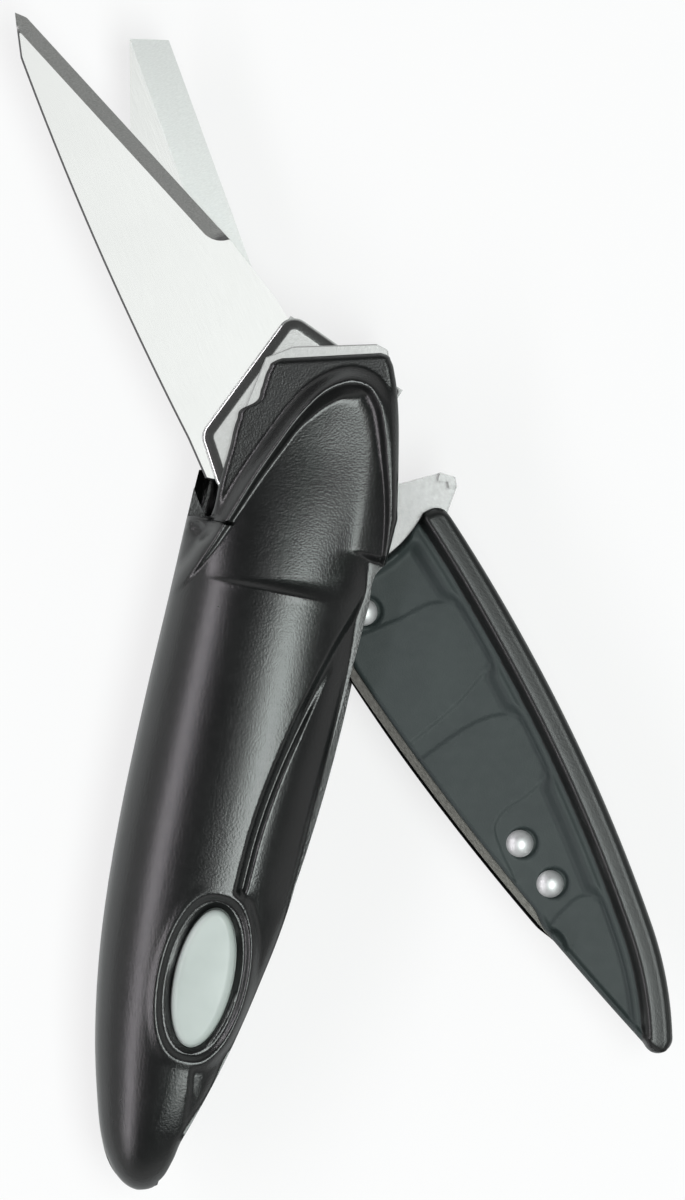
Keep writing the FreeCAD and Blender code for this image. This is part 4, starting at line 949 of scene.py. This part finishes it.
def make_lever_rear():
    rows = lever_rows(0.5)
    right = lever_right(rows)
    beside = arc_side(ARM_LEFT, np.clip(rows, ARM_END, ARM_TOP), -1)
    lip = ease(*REAR_LIP_START, rows) * (1 - ease(*REAR_LIP_END, rows))
    left = lever_left(rows)
    left = left + (np.minimum(beside - REAR_LIP, left) - left) * lip
    left = np.minimum(left, right - LEAST_WIDTH)
    x, y = lever_grid(left, right, rows, 90)
    rim = rim_distance(x, rows, right)
    back = -hermite(*zip(*REAR_RIM), rim)
    back += edge_drop(x - left, REAR_SIDE_ROUND) + edge_drop(-SHELL_RADIUS - rows, REAR_END_ROUND)
    pocket = ease(*POCKET_SIDE, x - beside) * ease(*POCKET_FOOT, rows) * (1 - ease(*POCKET_REACH, x))
    front = ARM_LEVELS[1] + (ARM_LEVELS[0] - ARM_LEVELS[1]) * pocket
    back = np.minimum(back, front - LEVER_WALL)
    piece = slab("lever_rear", x, y, front, back, LEVER_TURN)
    smooth_by_angle(piece.data, 60)
    return piece


dress(make_lever_front(), black_lever, "lever", "lever_front_shell")
dress(make_lever_rear(), black_rim, "lever", "lever_rear_shell")


# Bracket: pressed plate with round corners (place, radius) and a rolled edge (inset, drop)

BRACKET = [
    ((6.8, 20.0), 2.6), ((-13.1, 10.2), 2.6), ((-14.4, 2.3), 2.4), ((-11.0, -3.0), 2.0), ((-6.5, -7.2), 2.0),
    ((0.0, -9.0), 3.0), ((6.5, -6.6), 2.0), ((10.5, -1.0), 1.5), ((16.0, 2.3), 0.9),
]
BRACKET_LEVELS = (2.1, 3.3)
BRACKET_ROLL = [
    (0.0, -0.8), (0.06, -0.5), (0.2, -0.34), (0.5, -0.25), (0.8, -0.17), (1.1, -0.1), (1.35, -0.05),
    (1.6, -0.012), (1.75, 0.0), (1.85, 0.0),
]
TIGHTEST_BEND = 0.1


def rounded(corners, inset, level, steps=9):
    """The outline with round corners, moved inwards by the inset."""
    points = []
    places = [np.array(place) for place, radius in corners]
    for k, (place, radius) in enumerate(corners):
        before = places[k] - places[k - 1]
        after = places[(k + 1) % len(places)] - places[k]
        before, after = before / np.hypot(*before), after / np.hypot(*after)
        inward, inward_after = np.array([-before[1], before[0]]), np.array([-after[1], after[0]])
        turn = math.atan2(before[0] * after[1] - before[1] * after[0], before @ after)
        side = 1 if turn > 0 else -1
        bend = max(radius - side * inset, TIGHTEST_BEND)
        corner = places[k] + inset * (inward + inward_after) / (1 + inward @ inward_after)
        start = corner - before * bend * math.tan(abs(turn) / 2)
        middle = start + inward * bend * side
        for angle in np.linspace(0, turn, steps):
            x, y = start - middle
            cos, sin = math.cos(angle), math.sin(angle)
            points.append((middle[0] + x * cos - y * sin, middle[1] + x * sin + y * cos, level))
    return np.array(points)


def make_bracket():
    low, high = BRACKET_LEVELS
    rings = [rounded(BRACKET, 0.0, low)]
    rings += [rounded(BRACKET, inset, high + drop) for inset, drop in BRACKET_ROLL]
    piece = stack("bracket", rings, LEVER_TURN)
    smooth_by_angle(piece.data, 40)
    return piece


dress(make_bracket(), satin_steel, "lever", "blade_bracket")


# Front blade: a plate with a broken back edge and a ground cutting edge. Its low and right sides are (Y, X)

BLADE_BACK = ((-14.99, 10.44), (-13.80, 42.82), (-11.10, 70.96))
BLADE_LOW = [(-7.2, 0.0), (-4.32, -5.76), (2.63, -13.39), (4.02, -15.40), (10.44, -14.99)]
BLADE_POINT = (-8.79, 77.3)
BLADE_RIGHT = [
    (-7.2, 0.0), (-4.32, 5.76), (17.0, 6.20), (22.57, 5.81), (33.47, 3.80), (75.91, -7.60), (77.3, -8.79),
]
BLADE_ROWS = ((-7.18, 30.0, 80), (30.4, 44.0, 60), (44.5, 77.28, 100))
BLADE_LEVELS = (0.1, 2.2)
BLADE_CHAMFER = 0.3
GROUND_EDGE = ((-7.60, 75.91), (3.80, 33.47))
GROUND_WIDTH = 2.2
GROUND_LEFT = 0.66
GROUND_RUNOUT = 2.6
GROUND_COLUMNS = np.array([0.33, 0.67, 1.0])
SEPARATE = 0.01
PIVOT_HOLE = 3.05
HOLE_ENDS = (-2.0, 5.0)


def blade_left(y):
    (turn_x, turn_y), (tip_x, tip_y) = BLADE_BACK[2], BLADE_POINT
    low = np.interp(y, *zip(*BLADE_LOW))
    back = arc_side(BLADE_BACK, np.clip(y, BLADE_BACK[0][1], turn_y), -1)
    point = turn_x + (tip_x - turn_x) * (y - turn_y) / (tip_y - turn_y)
    return np.where(y < BLADE_BACK[0][1], low, np.where(y < turn_y, back, point))


def make_front_blade():
    low, high = BLADE_LEVELS
    (tip_x, tip_y), (heel_x, heel_y) = GROUND_EDGE
    lean = (tip_y - heel_y) / math.hypot(heel_x - tip_x, heel_y - tip_y)
    rows = np.concatenate([np.linspace(*part) for part in BLADE_ROWS])[:, None]
    right = np.interp(rows, *zip(*BLADE_RIGHT))
    left = np.minimum(blade_left(rows), right - LEAST_WIDTH)
    line = heel_x + (tip_x - heel_x) * (rows - heel_y) / (tip_y - heel_y)
    # the ground edge runs out round at the heel, and columns follow it and the broken back
    along = np.clip((rows - heel_y) / lean / GROUND_RUNOUT, 0, 1)
    wide = GROUND_WIDTH * np.sqrt(along * (2 - along))
    start = np.clip(line - wide / lean, left + BLADE_CHAMFER + SEPARATE, right - SEPARATE)
    broken = np.minimum(left + BLADE_CHAMFER, start)
    face = broken + (start - broken) * np.linspace(0, 1, 9)
    x = np.concatenate([left, face, start + (right - start) * GROUND_COLUMNS], axis=1)
    slope = (high - low - GROUND_LEFT) / GROUND_WIDTH
    ground = high - slope * np.maximum(wide - (line - x) * lean, 0)
    height = np.where(along > 0, ground, high)
    height = np.minimum(height, high - np.clip(BLADE_CHAMFER - (x - left), 0, BLADE_CHAMFER))
    piece = slab("blade_front", x, rows, height, low, LEVER_TURN)
    hole = [oval((0.0, 0.0), PIVOT_HOLE, PIVOT_HOLE, level) for level in HOLE_ENDS]
    cut_away(piece, stack("hole", hole, LEVER_TURN))
    smooth_by_angle(piece.data, 18)
    return piece


dress(make_front_blade(), blade_face, "lever", "front_blade")


# The front liner's sheared edge is broken

LINER_WELD = 0.001
LINER_EDGE = 0.15
LINER_ANGLE = math.radians(50)

welded = nodes["frame_front_plate"].modifiers.new("welded", "WELD")
welded.merge_threshold = LINER_WELD * MM
bevelled = nodes["frame_front_plate"].modifiers.new("broken_edge", "BEVEL")
bevelled.width = LINER_EDGE * MM
bevelled.segments = 1
bevelled.limit_method = "ANGLE"
bevelled.angle_limit = LINER_ANGLE


# Camera

LENS = 200
SENSOR = 36


def photo_point(px, py):
    """A pixel of the photograph as a place in the row frame, on the pivot's level."""
    x = PIVOT.x + (px - PHOTO_PIVOT[0]) / PHOTO_SCALE * MM
    y = PIVOT.y + (PHOTO_PIVOT[1] - py) / PHOTO_SCALE * MM
    return Vector((x, y, PIVOT.z))


camera_data = bpy.data.cameras.new("camera")
camera_data.lens = LENS
camera_data.sensor_width = SENSOR
camera_data.clip_end = 10
camera = placed("camera", camera_data)
view_height = PHOTO_SIZE[1] / PHOTO_SCALE * MM
camera_height = view_height * LENS / SENSOR
camera.location = photo_point(PHOTO_SIZE[0] / 2, PHOTO_SIZE[1] / 2) + Vector((0, 0, camera_height))
bpy.context.scene.camera = camera


# White surroundings to the camera, with a dome that dims towards the top for the light

DOME_HEIGHTS = (0.3, 0.7)
DOME_STRENGTHS = (0.58, 0.08)
FLOOR_RADIUS = 1.5
FLOOR_GAP = 0.0002
FLOOR_GLOW = 0.75


def is_seen(tree, kinds):
    """1 for a ray of one of these kinds."""
    path = node(tree, "ShaderNodeLightPath")
    total = path.outputs[kinds[0]]
    for kind in kinds[1:]:
        both = node(tree, "ShaderNodeMath", operation="MAXIMUM")
        tree.links.new(total, both.inputs[0])
        tree.links.new(path.outputs[kind], both.inputs[1])
        total = both.outputs[0]
    return total


world = bpy.data.worlds.new("studio")
bpy.context.scene.world = world
world.use_nodes = True
tree = world.node_tree
background = tree.nodes["Background"]
background.inputs["Color"].default_value = (1, 1, 1, 1)
sky = node(tree, "ShaderNodeTexCoord")
upward = node(tree, "ShaderNodeSeparateXYZ")
tree.links.new(sky.outputs["Generated"], upward.inputs["Vector"])
dome = node(tree, "ShaderNodeMapRange", interpolation_type="SMOOTHSTEP")
dome.inputs["From Min"].default_value, dome.inputs["From Max"].default_value = DOME_HEIGHTS
dome.inputs["To Min"].default_value, dome.inputs["To Max"].default_value = DOME_STRENGTHS
tree.links.new(upward.outputs["Z"], dome.inputs["Value"])
level = node(tree, "ShaderNodeMath", operation="MAXIMUM")
tree.links.new(dome.outputs["Result"], level.inputs[0])
tree.links.new(is_seen(tree, ["Is Camera Ray", "Is Transmission Ray"]), level.inputs[1])
tree.links.new(level.outputs[0], background.inputs["Strength"])

bpy.ops.mesh.primitive_circle_add(
    vertices=64, radius=FLOOR_RADIUS, fill_type="NGON", location=(0, 0, cad_low.z - FLOOR_GAP))
floor = bpy.context.object
floor.name = "floor"
floor_finish, tree, shader = material("floor")
shader.inputs["Base Color"].default_value = (0.9, 0.9, 0.9, 1)
shader.inputs["Roughness"].default_value = 0.9
glow = node(tree, "ShaderNodeEmission")
both = node(tree, "ShaderNodeMixShader")
tree.links.new(spread(tree, is_seen(tree, ["Is Camera Ray"]), 0.0, FLOOR_GLOW), both.inputs["Fac"])
tree.links.new(shader.outputs["BSDF"], both.inputs[1])
tree.links.new(glow.outputs["Emission"], both.inputs[2])
tree.links.new(both.outputs["Shader"], tree.nodes["Material Output"].inputs["Surface"])
floor.data.materials.append(floor_finish)


# Lamps

ENERGY_PER_AREA = 4  # for a radiance of 1


def softbox(name, sideways, lengthways, distance, size, radiance, tint=(1, 1, 1)):
    """An area lamp at two angles in degrees from straight above, aimed at the object's middle."""
    width, length = size
    data = bpy.data.lights.new(name, "AREA")
    data.shape = "RECTANGLE"
    data.size = width
    data.size_y = length
    data.energy = radiance * ENERGY_PER_AREA * width * length
    data.color = tint
    lamp = placed(name, data)
    away = Vector((math.tan(math.radians(sideways)), math.tan(math.radians(lengthways)), 1)).normalized()
    lamp.location = away * distance
    across = Vector((0, 1, 0)).cross(away).normalized()
    lamp.rotation_euler = Matrix((across, away.cross(across), away)).transposed().to_euler()


softbox("zenith", 0, 0, 1.4, size=(0.34, 0.7), radiance=0.75)
softbox("key_right", 16, -11, 1.0, size=(0.36, 0.72), radiance=6.4, tint=(0.93, 1.0, 0.975))
softbox("edge_left", -50, -2, 1.0, size=(0.15, 1.5), radiance=5.2, tint=(1.0, 0.95, 1.0))

bpy.context.scene.view_settings.view_transform = "Standard"
